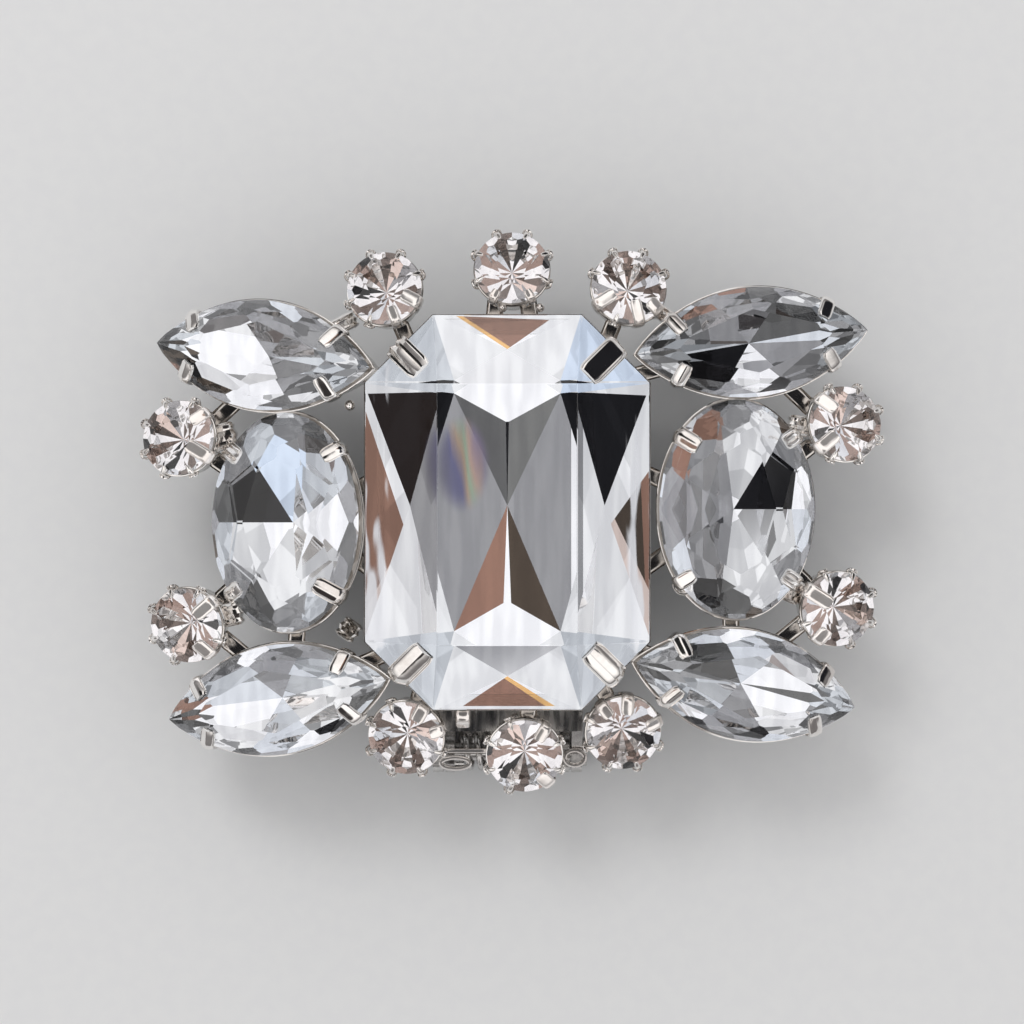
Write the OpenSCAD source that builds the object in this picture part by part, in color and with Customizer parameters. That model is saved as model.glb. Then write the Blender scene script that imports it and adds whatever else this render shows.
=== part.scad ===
// A shoe clip: a jewelled front of clear foil-backed cut stones held by claws in a
// soldered metal setting frame, with a sprung clip on the back for the shoe's edge.
// It lies face up on its clip lever. X runs across, Y up the face, Z out of the face.
// Everything is in millimetres.

/* [Centre stone] */
// Width of the oblong centre stone
centre_w = 18; // [15:0.5:21]
// Length of the centre stone
centre_l = 25; // [22:0.5:29]
// How far each corner is cut off, along the side
centre_cut = 4.3; // [3:0.1:5]
// Width of the sloping rim along each side of the centre stone's table
centre_rim = 4.6; // [3.4:0.1:5.4]
// Width of the sloping rim at each end of the centre stone's table
centre_end_rim = 4.3; // [3.4:0.1:5.4]
// Height of the centre stone's crown above its edge band
centre_crown = 1.9; // [1.4:0.1:2.6]
// Depth of the centre stone's pointed back below its edge band
centre_back = 4; // [3:0.1:5]
// Thickness of the centre stone's edge band
centre_band = 0.9; // [0.5:0.1:1.2]

/* [Oval stones] */
// Width of an oval stone
oval_w = 10; // [8:0.5:12]
// Length of an oval stone
oval_l = 14; // [12:0.5:16]
// Width of the sloping rim round an oval stone's table
oval_rim = 2.5; // [1.8:0.1:3]
// Height of an oval stone's crown
oval_crown = 1.5; // [1:0.1:2]
// Depth of an oval stone's back
oval_back = 2.9; // [2.2:0.1:3.6]
// Thickness of an oval stone's edge band
oval_band = 0.5; // [0.3:0.1:0.8]

/* [Pointed stones] */
// Width of a boat-shaped stone
boat_w = 7; // [6:0.25:8]
// Length of a boat-shaped stone
boat_l = 15; // [13:0.5:17]
// Width of the sloping rim along a boat-shaped stone's sides
boat_rim = 1.7; // [1.2:0.1:2.1]
// Height of a boat-shaped stone's crown
boat_crown = 1.3; // [0.9:0.1:1.7]
// Depth of a boat-shaped stone's back
boat_back = 2.3; // [1.8:0.1:2.8]
// Thickness of a boat-shaped stone's edge band
boat_band = 0.4; // [0.3:0.1:0.6]

/* [Round stones] */
// Diameter of a small round stone
round_d = 4.8; // [4.2:0.1:5.6]
// Width of the sloping rim round a small stone's table
round_rim = 1.25; // [0.9:0.05:1.6]
// Height of a small stone's crown
round_crown = 0.85; // [0.6:0.05:1.1]
// Depth of a small stone's back
round_back = 1.9; // [1.5:0.1:2.3]
// Thickness of a small stone's edge band
round_band = 0.2; // [0.15:0.05:0.4]

/* [Layout] */
// Gap between the centre stone and the ovals beside it
side_gap = 0.45; // [0.4:0.05:1]
// Gap between an oval's end and the boat-shaped stone past it
end_gap = 0.3; // [0.25:0.05:1]
// Gap between a boat-shaped stone's inner tip and the centre stone
tip_gap = 0.85; // [0.8:0.05:1.4]
// Gap between a small outer stone and the oval that it nestles against
nest_gap = 0.75; // [0.7:0.05:1.2]
// Gap between the centre stone's cut corners and the small stones past them
corner_gap = 1.1; // [0.9:0.05:1.6]

/* [Settings] */
// Thickness of the sheet metal that the cups and claws are pressed from
cup_t = 0.45; // [0.35:0.05:0.6]
// How far a big cup's wall stands out past its stone's edge
cup_out = 0.15; // [0.1:0.05:0.3]
// How far a small cup's wall stands out past its stone's edge
small_cup_out = 0.08; // [0.06:0.02:0.2]
// Thickness of the cups' floors and of the joining strips
floor_t = 0.5; // [0.4:0.05:0.8]
// Width of the strips that join the cups on the back
strip_w = 1.1; // [0.8:0.1:1.6]
// Width of the big claws over the centre stone's corners
big_claw_w = 1.7; // [1.2:0.1:2.2]
// How far a big claw reaches in over the centre stone
big_claw_reach = 2; // [1.2:0.1:2.6]
// Width of the claws on the oval and boat-shaped stones
claw_w = 0.85; // [0.6:0.05:1.1]
// How far those claws reach in over their stones
claw_reach = 1.1; // [0.8:0.1:1.5]
// Width of the prongs on the small round stones
prong_w = 0.5; // [0.4:0.05:0.7]
// How far a prong reaches in over its small stone
prong_reach = 0.5; // [0.3:0.05:0.7]

/* [Clip] */
// Width of the clip plate and its lever
clip_w = 9.8; // [8:0.2:12]
// Length of the clip plate
clip_l = 22; // [18:0.5:24]
// Thickness of the clip plate and lever
clip_t = 0.8; // [0.6:0.1:1]
// Clear height inside the clip's mouth
mouth = 4.3; // [4.2:0.1:5]
// Diameter of the hinge pin
pin_d = 1.2; // [1:0.1:1.5]
// Diameter of the spring wire
wire_d = 0.4; // [0.3:0.05:0.5]
// Turns in each half of the spring's coil
coil_turns = 4; // [3:1:6]

/* [Hidden] */

fit = 0.06;          // gap between a stone and the metal that holds it
seat = 0.3;          // how far a cup's rim tucks in under the stone's edge
culet_gap = 0.2;     // gap between a stone's point and the cup's floor
solder_gap = 0.05;   // film between the clip plate and the frame's floor
claw_t = 0.4;        // thickness of a claw's tip
prong_t = 0.22;      // thickness of a prong's tip

// Levels above the surface that the clip lies on
plate_z = clip_t + mouth;
frame_z = plate_z + clip_t + solder_gap;

// Kinds of cut stone. A kind's columns are
// half width, half length, how pointed its ends are, rim across, rim along,
// crown height, back depth, edge band, number of sides, cup floor level,
// cup taper, width left for the floor's rim (0 is a closed floor), and how far
// the cup stands out
HALF_X = 0; HALF_Y = 1; POINT = 2; RIM_X = 3; RIM_Y = 4; CROWN = 5;
BACK = 6; BAND = 7; SIDES = 8; FLOOR = 9; TAPER = 10; FLOOR_RIM = 11; OUT = 12;
OVAL = [oval_w / 2, oval_l / 2, 1, oval_rim, oval_rim, oval_crown,
        oval_back, oval_band, 12, frame_z, 1.1, 1.3, cup_out];
BOAT = [boat_l / 2, boat_w / 2, 1.75, boat_rim * 1.9, boat_rim, boat_crown,
        boat_back, boat_band, 12, frame_z + 0.45, 0.7, 1, cup_out];
ROUND = [round_d / 2, round_d / 2, 1, round_rim, round_rim, round_crown,
         round_back, round_band, 8, frame_z + 0.4, 0.5, 0, small_cup_out];

function girdle_level(k) =
    k[FLOOR] + floor_t + culet_gap + k[BACK] + k[BAND] / 2;
centre_z = frame_z + floor_t + culet_gap + centre_back + centre_band / 2;

// One point of a stone's outline, drawn in by inset (across, along)
function rim_x(k, inset, a) = (k[HALF_X] - inset[0]) * cos(a);
function rim_y(k, inset, a) =
    (k[HALF_Y] - inset[1]) * sign(sin(a)) * pow(abs(sin(a)), k[POINT]);
function rim_point(k, inset, a) = [rim_x(k, inset, a), rim_y(k, inset, a)];
function ring(k, inset, n, turn, z) =
    [for (i = [0:n - 1]) let (a = 360 * (i + turn) / n)
        [rim_x(k, inset, a), rim_y(k, inset, a), z]];

// Direction square to the outline at angle a
function outward(k, a) =
    let (p = rim_point(k, [0, 0], a - 2), q = rim_point(k, [0, 0], a + 2))
    atan2(p[0] - q[0], q[1] - p[1]);

// Where each stone sits: middle of its edge band, turn of its long side,
// the way it leans, and how much. Small hand-set errors are in millimetres.
X = 0; Y = 1; Z = 2; TURN = 3; WAY = 4; LEAN = 5;
centre_at = [0, -0.15, centre_z, 0, 0, 0];

function oval_at(side, dx, dy, lean) =
    [side * (centre_w / 2 + side_gap + oval_w / 2) + dx, centre_at[Y] + dy,
     girdle_level(OVAL), 0, side > 0 ? 0 : 180, lean];
oval_left_at = oval_at(-1, 0.3, -0.65, 16.5);
oval_right_at = oval_at(1, 0.2, 0.2, 4);

// Half the length that the middle of the face takes up: the centre stone, or the
// ovals with the boat-shaped stones past them, whichever is longer
end_step = 1.7;       // how far the centre stone's ends reach past the boats' middles
boat_y = oval_l / 2 + end_gap + boat_w / 2;
row_y = max(centre_l / 2, boat_y + end_step);

// A boat-shaped stone lies past an oval's end, its inner tip by the centre
// stone's cut corner
function centre_edge_x(y) = min(centre_w / 2, centre_w / 2 + row_y - centre_cut - y);
function boat_at(side, end, oval, turn, lean, dx, dy) =
    let (half = boat_l / 2 * cos(lean),
         y = end * (row_y - end_step) + oval[Y] + dy,
         tip_y = y - side * half * sin(turn),
         tip_x = centre_edge_x(abs(tip_y - centre_at[Y])) + tip_gap)
    [side * (tip_x + half * cos(turn)) + dx, y, girdle_level(BOAT) + 0.4,
     turn, side > 0 ? turn : 180 + turn, lean];
boat_tl_at = boat_at(-1, 1, oval_left_at, -7.5, 20, 0.3, -0.12);
boat_tr_at = boat_at(1, 1, oval_right_at, 6.3, 6.5, 0.2, -0.15);
boat_bl_at = boat_at(-1, -1, oval_left_at, 11, 16, -0.15, -0.5);
boat_br_at = boat_at(1, -1, oval_right_at, -12, 14, -0.45, -0.42);

// A small outer stone nestles against an oval's shoulder
function nest_at(oval, a, dr, lean) =
    let (n = outward(OVAL, a), r = round_d / 2 + nest_gap + dr)
    [oval[X] + rim_x(OVAL, [0, 0], a) + r * cos(n),
     oval[Y] + rim_y(OVAL, [0, 0], a) + r * sin(n),
     girdle_level(ROUND), 0, n, lean];
round_lu_at = nest_at(oval_left_at, 145, 0, 16);
round_ll_at = nest_at(oval_left_at, 223, 0.15, 17);
round_ru_at = nest_at(oval_right_at, 35, 0.1, 15);
round_rl_at = nest_at(oval_right_at, -41.5, 0.15, 14);

// A small stone past one of the centre stone's cut corners
function corner_at(side, end, out, along, lean) =
    let (r = round_d / 2 + corner_gap + out, h = sqrt(1 / 2))
    [side * (centre_w / 2 - centre_cut / 2 + h * (r - along)),
     centre_at[Y] + end * (row_y - centre_cut / 2 + h * (r + along)),
     girdle_level(ROUND), 0, end * 90 - side * end * 25, lean];
round_tl_at = corner_at(-1, 1, 0.05, 2.1, 14);
round_tr_at = corner_at(1, 1, 0.05, 2.2, 12);
round_bl_at = corner_at(-1, -1, -0.85, 3.15, 14);
round_br_at = corner_at(1, -1, -0.4, 2.25, 14);

// The small stones over and under the centre stone's ends
function end_at(end, dx, gap, lean) =
    [dx, centre_at[Y] + end * (centre_l / 2 + gap + round_d / 2),
     girdle_level(ROUND), 0, end * 90, lean];
round_t_at = end_at(1, 0.3, 0.75, 15);
round_b_at = end_at(-1, 1.1, 0.7, 14);

module place(at)
    translate([at[X], at[Y], at[Z]])
        rotate([0, 0, at[WAY]]) rotate([0, at[LEAN], 0]) rotate([0, 0, -at[WAY]])
            rotate([0, 0, at[TURN]])
                children();

// A brilliant cut: table, star facets, kites, upper facets, edge band, and a
// back of kites and lower facets that meet at a point
module brilliant(k) {
    n = k[SIDES];
    top = k[BAND] / 2;
    table = ring(k, [k[RIM_X], k[RIM_Y]], n, 0, top + k[CROWN]);
    star = ring(k, [k[RIM_X], k[RIM_Y]] * 0.42, n, 0.5, top + k[CROWN] * 0.5);
    upper = ring(k, [0, 0], 2 * n, 0, top);
    lower = ring(k, [0, 0], 2 * n, 0, -top);
    deep = [for (p = ring(k, [0, 0], n, 0.5, 0))
        [p[0] * 0.45, p[1] * 0.45, -top - k[BACK] * 0.62]];
    point = [[0, 0, -top - k[BACK]]];
    t = 0;
    s = n;
    u = 2 * n;
    l = 4 * n;
    d = 6 * n;
    faces = concat(
        [[for (i = [n - 1:-1:0]) t + i]],
        [for (i = [0:n - 1]) let (j = (i + 1) % n) [t + i, t + j, s + i]],
        [for (i = [0:n - 1]) let (h = (i + n - 1) % n) [t + i, s + i, u + 2 * i]],
        [for (i = [0:n - 1]) let (h = (i + n - 1) % n) [t + i, u + 2 * i, s + h]],
        [for (i = [0:n - 1]) [s + i, u + 2 * i + 1, u + 2 * i]],
        [for (i = [0:n - 1]) [s + i, u + (2 * i + 2) % (2 * n), u + 2 * i + 1]],
        [for (i = [0:2 * n - 1]) let (j = (i + 1) % (2 * n)) [u + i, u + j, l + j, l + i]],
        [for (i = [0:n - 1]) [d + i, l + 2 * i, l + 2 * i + 1]],
        [for (i = [0:n - 1]) [d + i, l + 2 * i + 1, l + (2 * i + 2) % (2 * n)]],
        [for (i = [0:n - 1]) let (h = (i + n - 1) % n) [7 * n, l + 2 * i, d + i]],
        [for (i = [0:n - 1]) let (h = (i + n - 1) % n) [7 * n, d + h, l + 2 * i]]
    );
    polyhedron(concat(table, star, upper, lower, deep, point), faces);
}

// The oblong stone's outline with cut corners, drawn in by inset
function oblong(inset, z) =
    let (x = centre_w / 2 - inset, y = centre_l / 2 - inset,
         c = max(centre_cut - inset * 0.586, 0.2))
    [[x, -y + c, z], [x, y - c, z], [x - c, y, z], [c - x, y, z],
     [-x, y - c, z], [-x, c - y, z], [c - x, -y, z], [x - c, -y, z]];

// The oblong centre stone is the hull of its facets' corners: rectangular table,
// four sloping sides, four three-cornered facets and an edge band. Its back has a
// keel, with a long kite on each side of it and a short kite at each end.
// Corners of the back are shares of half the width, half the length and the depth.
module oblong_stone() {
    top = centre_band / 2;
    table_x = centre_w / 2 - centre_rim;
    table_y = centre_l / 2 - centre_end_rim;
    culet_y = 0.035;                // the deepest point sits a little high
    keel_y = 0.464;                 // ends of the keel
    keel_d = 0.85;
    side_x = 0.622;                 // outer corner of a long kite
    side_d = 0.55;
    shared_x = 0.378;               // corners that long and short kites share
    shared_y = 0.608;
    shared_d = 1 - (1 - side_d) * shared_x / side_x;
    end_y = 0.784;                  // outer corner of a short kite
    end_d = keel_d - (keel_d - shared_d) * (end_y - keel_y) / (shared_y - keel_y);
    back = concat(
        [[0, culet_y, 1]],
        [for (j = [-1, 1]) each [[0, j * keel_y, keel_d], [0, j * end_y, end_d]]],
        [for (i = [-1, 1]) [i * side_x, culet_y, side_d]],
        [for (i = [-1, 1], j = [-1, 1]) [i * shared_x, j * shared_y, shared_d]]
    );
    corners = concat(
        [for (i = [-1, 1], j = [-1, 1]) [i * table_x, j * table_y - 0.15, top + centre_crown]],
        oblong(0, top), oblong(0, -top),
        [for (p = back)
            [p[0] * centre_w / 2, p[1] * centre_l / 2, -top - p[2] * centre_back]]
    );
    hull()
        polyhedron(corners, [[for (i = [0:len(corners) - 1]) i]]);
}

// A wall or rim that follows an outline. Each ring is one closed loop of
// points; together they go once round the wall's section.
module wall(rings) {
    m = len(rings);
    n = len(rings[0]);
    points = [for (r = rings) each r];
    faces = [for (j = [0:m - 1], i = [0:n - 1], h = [0, 1])
        let (j2 = (j + 1) % m, i2 = (i + 1) % n,
             a = j * n + i, b = j * n + i2, c = j2 * n + i2, d = j2 * n + i)
        h == 0 ? [a, b, c] : [a, c, d]];
    polyhedron(points, faces);
}

// A dish: closed loops of points from the middle of its underside, up over its
// edge and down to the middle of its floor
module dish(rings) {
    m = len(rings);
    n = len(rings[0]);
    points = [for (r = rings) each r];
    faces = concat(
        [[for (i = [0:n - 1]) i]],
        [for (j = [0:m - 2], i = [0:n - 1], h = [0, 1])
            let (i2 = (i + 1) % n,
                 a = j * n + i, b = j * n + i2, c = (j + 1) * n + i2, d = (j + 1) * n + i)
            h == 0 ? [a, c, b] : [a, d, c]],
        [[for (i = [n - 1:-1:0]) (m - 1) * n + i]]
    );
    polyhedron(points, faces);
}

// A pressed cup under a stone, with its floor ring or closed floor
module cup(k) {
    n = 2 * k[SIDES];
    top = -k[BAND] / 2 - seat;
    low = k[FLOOR] - girdle_level(k);
    out = [1, 1] * -k[OUT];
    in = [1, 1] * seat;
    slant = [1, 1] * k[TAPER];
    sheet = [1, 1] * cup_t;
    function at(inset, z) = ring(k, inset, n, 0, z);
    if (k[FLOOR_RIM] > 0) {
        lip = slant + [1, 1] * k[FLOOR_RIM];
        wall([at(out, top), at(slant + out, low), at(lip, low),
              at(lip, low + floor_t), at(slant + sheet + out, low + floor_t),
              at(in, top)]);
    } else {
        dish([at(slant + out, low), at(out, top), at(in, top),
              at(slant + sheet, low + floor_t)]);
    }
}

// The centre stone's cup
module oblong_cup() {
    top = -centre_band / 2 - seat;
    low = frame_z - centre_z;
    taper = 1.7;
    wall([oblong(-cup_out, top), oblong(taper - cup_out, low), oblong(taper + 2.2, low),
          oblong(taper + 2.2, low + floor_t), oblong(taper + cup_t, low + floor_t),
          oblong(seat, top)]);
}

// A claw seen from the side: up the cup's wall, then in over the crown. Its
// columns are distance out from the stone's edge, and height
function claw_side(band, cup, slope, reach, t, drop, taper) =
    let (top = band / 2 + fit, out = cup - 0.06, bend = -seat - band / 2 + 0.08)
    [[out - taper, -drop], [out - taper + t, -drop], [out + t, bend],
     [out + t, top + t * 0.4], [out + t * 0.4, top + t],
     [-reach + t * 0.3, top + slope * reach + t * 0.9],
     [-reach, top + slope * reach + t * 0.35], [-reach, top + slope * reach],
     [0, top], [out, top - fit * 0.5], [out, bend]];

// A prong has the same shape with fewer bends
function prong_side(band, cup, slope, reach, t, drop, taper) =
    let (top = band / 2 + fit, out = cup - 0.02, bend = -seat - band / 2 + 0.08)
    [[out - taper, -drop], [out - taper + t, -drop], [out + t, bend],
     [out + t * 0.8, top + t * 0.7], [-reach, top + slope * reach + t * 0.5],
     [-reach, top + slope * reach], [out, top]];

module claw(side, w)
    rotate([90, 0, 0])
        linear_extrude(w, center = true)
            polygon(side);

module claws(k, angles, w, side)
    for (a = angles)
        let (p = rim_point(k, [0, 0], a))
            translate([p[0], p[1], 0])
                rotate([0, 0, outward(k, a)])
                    claw(side, w);
function slope_of(k) = k[CROWN] * 0.5 / (min(k[RIM_X], k[RIM_Y]) * 0.42);
function claw_of(k) =
    claw_side(k[BAND], k[OUT], slope_of(k), claw_reach, claw_t, 1.6, k[TAPER] * 0.35);
function prong_of(k) =
    prong_side(k[BAND], k[OUT], slope_of(k), prong_reach, prong_t, 1.2, k[TAPER] * 0.35);

// The big claws stand on the middle of the centre stone's cut corners
module corner_claws() {
    drop = 2.4;
    slope = centre_crown / (min(centre_rim, centre_end_rim) * 0.7);
    for (i = [-1, 1], j = [-1, 1])
        translate([i * (centre_w - centre_cut) / 2, j * (centre_l - centre_cut) / 2, 0])
            rotate([0, 0, atan2(j, i)])
                claw(claw_side(centre_band, cup_out, slope, big_claw_reach, claw_t, drop, 0.75),
                     big_claw_w);
}

// Middle of a cup's floor
function floor_of(at, depth) =
    let (s = sin(at[LEAN]), c = cos(at[LEAN]))
    [at[X] - depth * s * cos(at[WAY]), at[Y] - depth * s * sin(at[WAY]), at[Z] - depth * c];
function kind_floor(k, at) = floor_of(at, girdle_level(k) - k[FLOOR] - floor_t / 2);

// A flattened wire from one floor to the next, a little thinner than the floors.
// No two are quite as thick, so that their faces cross cleanly where wires meet.
module strip(a, b, i)
    let (d = b - a, l = norm(d), t = floor_t * (0.8 + 0.023 * (i % 7)))
        translate((a + b) / 2)
            rotate([0, 0, atan2(d[1], d[0])])
                rotate([0, -asin(d[2] / l), 0])
                    hull()
                        for (h = [-1, 1])
                            translate([0, h * (strip_w - t) / 2, 0])
                                rotate([0, 90, 0])
                                    cylinder(h = l, d = t, center = true, $fn = 8);

module bright() color([0.85, 0.86, 0.88]) children();
module clear() color([0.8, 0.88, 0.95]) children();

module centre_stone() clear() place(centre_at) oblong_stone();
module oval_stone_left() clear() place(oval_left_at) brilliant(OVAL);
module oval_stone_right() clear() place(oval_right_at) brilliant(OVAL);
module boat_stone_top_left() clear() place(boat_tl_at) brilliant(BOAT);
module boat_stone_top_right() clear() place(boat_tr_at) brilliant(BOAT);
module boat_stone_bottom_left() clear() place(boat_bl_at) brilliant(BOAT);
module boat_stone_bottom_right() clear() place(boat_br_at) brilliant(BOAT);
module round_stone_top_left() clear() place(round_tl_at) brilliant(ROUND);
module round_stone_top() clear() place(round_t_at) brilliant(ROUND);
module round_stone_top_right() clear() place(round_tr_at) brilliant(ROUND);
module round_stone_right_upper() clear() place(round_ru_at) brilliant(ROUND);
module round_stone_right_lower() clear() place(round_rl_at) brilliant(ROUND);
module round_stone_bottom_right() clear() place(round_br_at) brilliant(ROUND);
module round_stone_bottom() clear() place(round_b_at) brilliant(ROUND);
module round_stone_bottom_left() clear() place(round_bl_at) brilliant(ROUND);
module round_stone_left_lower() clear() place(round_ll_at) brilliant(ROUND);
module round_stone_left_upper() clear() place(round_lu_at) brilliant(ROUND);

rounds = [round_tl_at, round_t_at, round_tr_at, round_ru_at, round_rl_at,
          round_br_at, round_b_at, round_bl_at, round_ll_at, round_lu_at];

foot_inset = 3;       // how far in from the centre stone's edge the strips' feet reach

// Feet on the centre cup's floor, as shares of its half width and half length
function foot(x, y) =
    floor_of(centre_at, centre_z - frame_z - floor_t / 2)
    + [x * (centre_w / 2 - foot_inset), y * (centre_l / 2 - foot_inset), 0];

// All the cups, claws and strips, soldered into one piece
module setting_frame() bright() {
    place(centre_at) {
        oblong_cup();
        corner_claws();
    }
    for (at = [oval_left_at, oval_right_at])
        place(at) {
            cup(OVAL);
            claws(OVAL, [42, 138, 222, 318], claw_w, claw_of(OVAL));
        }
    for (at = [boat_tl_at, boat_tr_at, boat_bl_at, boat_br_at])
        place(at) {
            cup(BOAT);
            claws(BOAT, [47, 133, 227, 313], claw_w, claw_of(BOAT));
        }
    for (at = rounds)
        place(at) {
            cup(ROUND);
            claws(ROUND, [for (i = [0:7]) 22.5 + 45 * i], prong_w, prong_of(ROUND));
        }
    joins = [
        // the small stones' links, then the big cups' links
        [foot(0.3, 1), kind_floor(ROUND, round_t_at) + [0.9, 0, 0]],
        [foot(-0.2, 1), kind_floor(ROUND, round_t_at) - [0.9, 0, 0]],
        [foot(0.3, -1), kind_floor(ROUND, round_b_at)],
        [foot(-0.9, 0.9), kind_floor(ROUND, round_tl_at)],
        [foot(0.9, 0.9), kind_floor(ROUND, round_tr_at)],
        [foot(-0.8, -0.9), kind_floor(ROUND, round_bl_at)],
        [foot(0.8, -0.9), kind_floor(ROUND, round_br_at)],
        [kind_floor(OVAL, oval_left_at), kind_floor(ROUND, round_lu_at)],
        [kind_floor(OVAL, oval_left_at), kind_floor(ROUND, round_ll_at)],
        [kind_floor(OVAL, oval_right_at), kind_floor(ROUND, round_ru_at)],
        [kind_floor(OVAL, oval_right_at), kind_floor(ROUND, round_rl_at)],
        [kind_floor(BOAT, boat_tl_at), kind_floor(ROUND, round_lu_at)],
        [kind_floor(BOAT, boat_bl_at), kind_floor(ROUND, round_ll_at)],
        [kind_floor(BOAT, boat_tr_at), kind_floor(ROUND, round_ru_at)],
        [kind_floor(BOAT, boat_br_at), kind_floor(ROUND, round_rl_at)],
        [kind_floor(OVAL, oval_left_at), kind_floor(BOAT, boat_tl_at)],
        [kind_floor(OVAL, oval_left_at), kind_floor(BOAT, boat_bl_at)],
        [kind_floor(OVAL, oval_right_at), kind_floor(BOAT, boat_tr_at)],
        [kind_floor(OVAL, oval_right_at), kind_floor(BOAT, boat_br_at)],
        [foot(-0.9, 0.85), kind_floor(BOAT, boat_tl_at)],
        [foot(0.9, 0.85), kind_floor(BOAT, boat_tr_at)],
        [foot(-0.9, -0.85), kind_floor(BOAT, boat_bl_at)],
        [foot(0.9, -0.85), kind_floor(BOAT, boat_br_at)],
        [foot(-1, 0.4), kind_floor(OVAL, oval_left_at)],
        [foot(-1, -0.6), kind_floor(OVAL, oval_left_at)],
        [foot(1, 0.4), kind_floor(OVAL, oval_right_at)],
        [foot(1, -0.6), kind_floor(OVAL, oval_right_at)],
        [foot(-1, 0), foot(1, 0)]
    ];
    for (i = [0:len(joins) - 1])
        strip(joins[i][0], joins[i][1], i);
}

// The clip. Its hinge lies across the bottom end of the frame.
ear_t = 0.7;                          // thickness of the plate's two ears
lug_t = 0.6;                          // thickness of the lever's two lugs
lug_gap = 0.12;                       // side gap between an ear and a lug
run_fit = 0.05;                       // play of the lever's lugs on the pin
rivet_fit = 0.01;                     // play of the pin in the ears
coil_r = pin_d / 2 + 0.25 + wire_d / 2;
eye_r = coil_r + wire_d / 2 + 0.1;    // radius of the ears' and lugs' round ends
pin_z = clip_t + mouth / 2 + 0.05;
pin_y = centre_at[Y] - centre_l / 2 - round_d * 0.69;
plate_end = pin_y + eye_r + 0.2;
jaw_y = plate_end + clip_l;
tooth = 0.7;                          // depth of the jaw's teeth
curl_r = 0.55;                        // outer radius of the lever's curled thumb ends

// Things drawn in the Y-Z plane and given a thickness along X
module across(x, t)
    translate([x - t / 2, 0, 0])
        rotate([90, 0, 90])
            linear_extrude(t)
                children();

module clip_plate() bright() {
    ear_x = clip_w / 2 - ear_t / 2;
    corner = 2.4;
    translate([0, 0, plate_z])
        linear_extrude(clip_t)
            polygon([[-clip_w / 2, plate_end], [clip_w / 2, plate_end],
                     [clip_w / 2, jaw_y - corner], [clip_w / 2 - corner, jaw_y],
                     [corner - clip_w / 2, jaw_y], [-clip_w / 2, jaw_y - corner]]);
    for (side = [-1, 1])
        difference() {
            across(side * ear_x, ear_t)
                union() {
                    translate([pin_y, pin_z]) circle(r = eye_r, $fn = 32);
                    polygon([[pin_y - eye_r * 0.8, pin_z + eye_r * 0.6],
                             [pin_y + eye_r * 0.3, pin_z - eye_r * 0.954],
                             [plate_end + 2.4, plate_z + clip_t / 2],
                             [plate_end + 2.4, plate_z + clip_t],
                             [plate_end, plate_z + clip_t]]);
                }
            translate([side * ear_x, pin_y, pin_z])
                rotate([0, 90, 0])
                    cylinder(h = ear_t * 2, d = pin_d + 2 * rivet_fit, center = true, $fn = 48);
        }
}

module clip_lever() bright() {
    lug_x = clip_w / 2 - ear_t - lug_gap - lug_t / 2;
    curl_w = 2;
    slot = 0.8;
    curl_y = pin_y - 0.85;
    // the pressed strip, seen from the side, with its tip bent up to the plate
    difference() {
        across(0, clip_w)
            polygon([[curl_y, 0], [jaw_y - 3, 0], [jaw_y - 1, plate_z - 1.6],
                     [jaw_y - 1, plate_z - 0.15], [jaw_y - 1 - clip_t, plate_z - 0.15],
                     [jaw_y - 1 - clip_t, plate_z - 1.5], [jaw_y - 3.4, clip_t],
                     [curl_y, clip_t]]);
        // notches between the teeth
        for (i = [-2:2])
            translate([i * clip_w / 5.5, jaw_y - 1.4, plate_z])
                rotate([90, 0, 0])
                    linear_extrude(3, center = true)
                        polygon([[-tooth, 0], [0, -tooth - 0.15], [tooth, 0]]);
        // the gap between the two thumb ends
        translate([0, curl_y, clip_t / 2])
            cube([clip_w - 2 * curl_w, 2.2, clip_t * 2], center = true);
    }
    // curled thumb ends
    for (side = [-1, 1])
        across(side * (clip_w / 2 - curl_w / 2), curl_w)
            difference() {
                translate([curl_y, curl_r]) circle(r = curl_r, $fn = 32);
                translate([curl_y, curl_r]) circle(r = curl_r - 0.3, $fn = 24);
            }
    for (side = [-1, 1])
        difference() {
            across(side * lug_x, lug_t)
                union() {
                    translate([pin_y, pin_z]) circle(r = eye_r, $fn = 32);
                    polygon([[pin_y - eye_r, pin_z], [pin_y - eye_r * 0.3, clip_t / 2],
                             [pin_y + eye_r * 2.2, clip_t / 2],
                             [pin_y + eye_r * 0.8, pin_z + eye_r * 0.6]]);
                }
            translate([side * lug_x, pin_y, pin_z])
                rotate([0, 90, 0])
                    cylinder(h = lug_t * 2, d = pin_d + 2 * run_fit, center = true, $fn = 48);
        }
}

module hinge_pin() bright()
    translate([0, pin_y, pin_z])
        rotate([0, 90, 0]) {
            cylinder(h = clip_w + 0.1, d = pin_d, center = true, $fn = 48);
            for (side = [-1, 1])
                translate([0, 0, side * (clip_w / 2 + 0.2)])
                    cylinder(h = 0.3, d = pin_d + 0.7, center = true, $fn = 32);
        }

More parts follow.
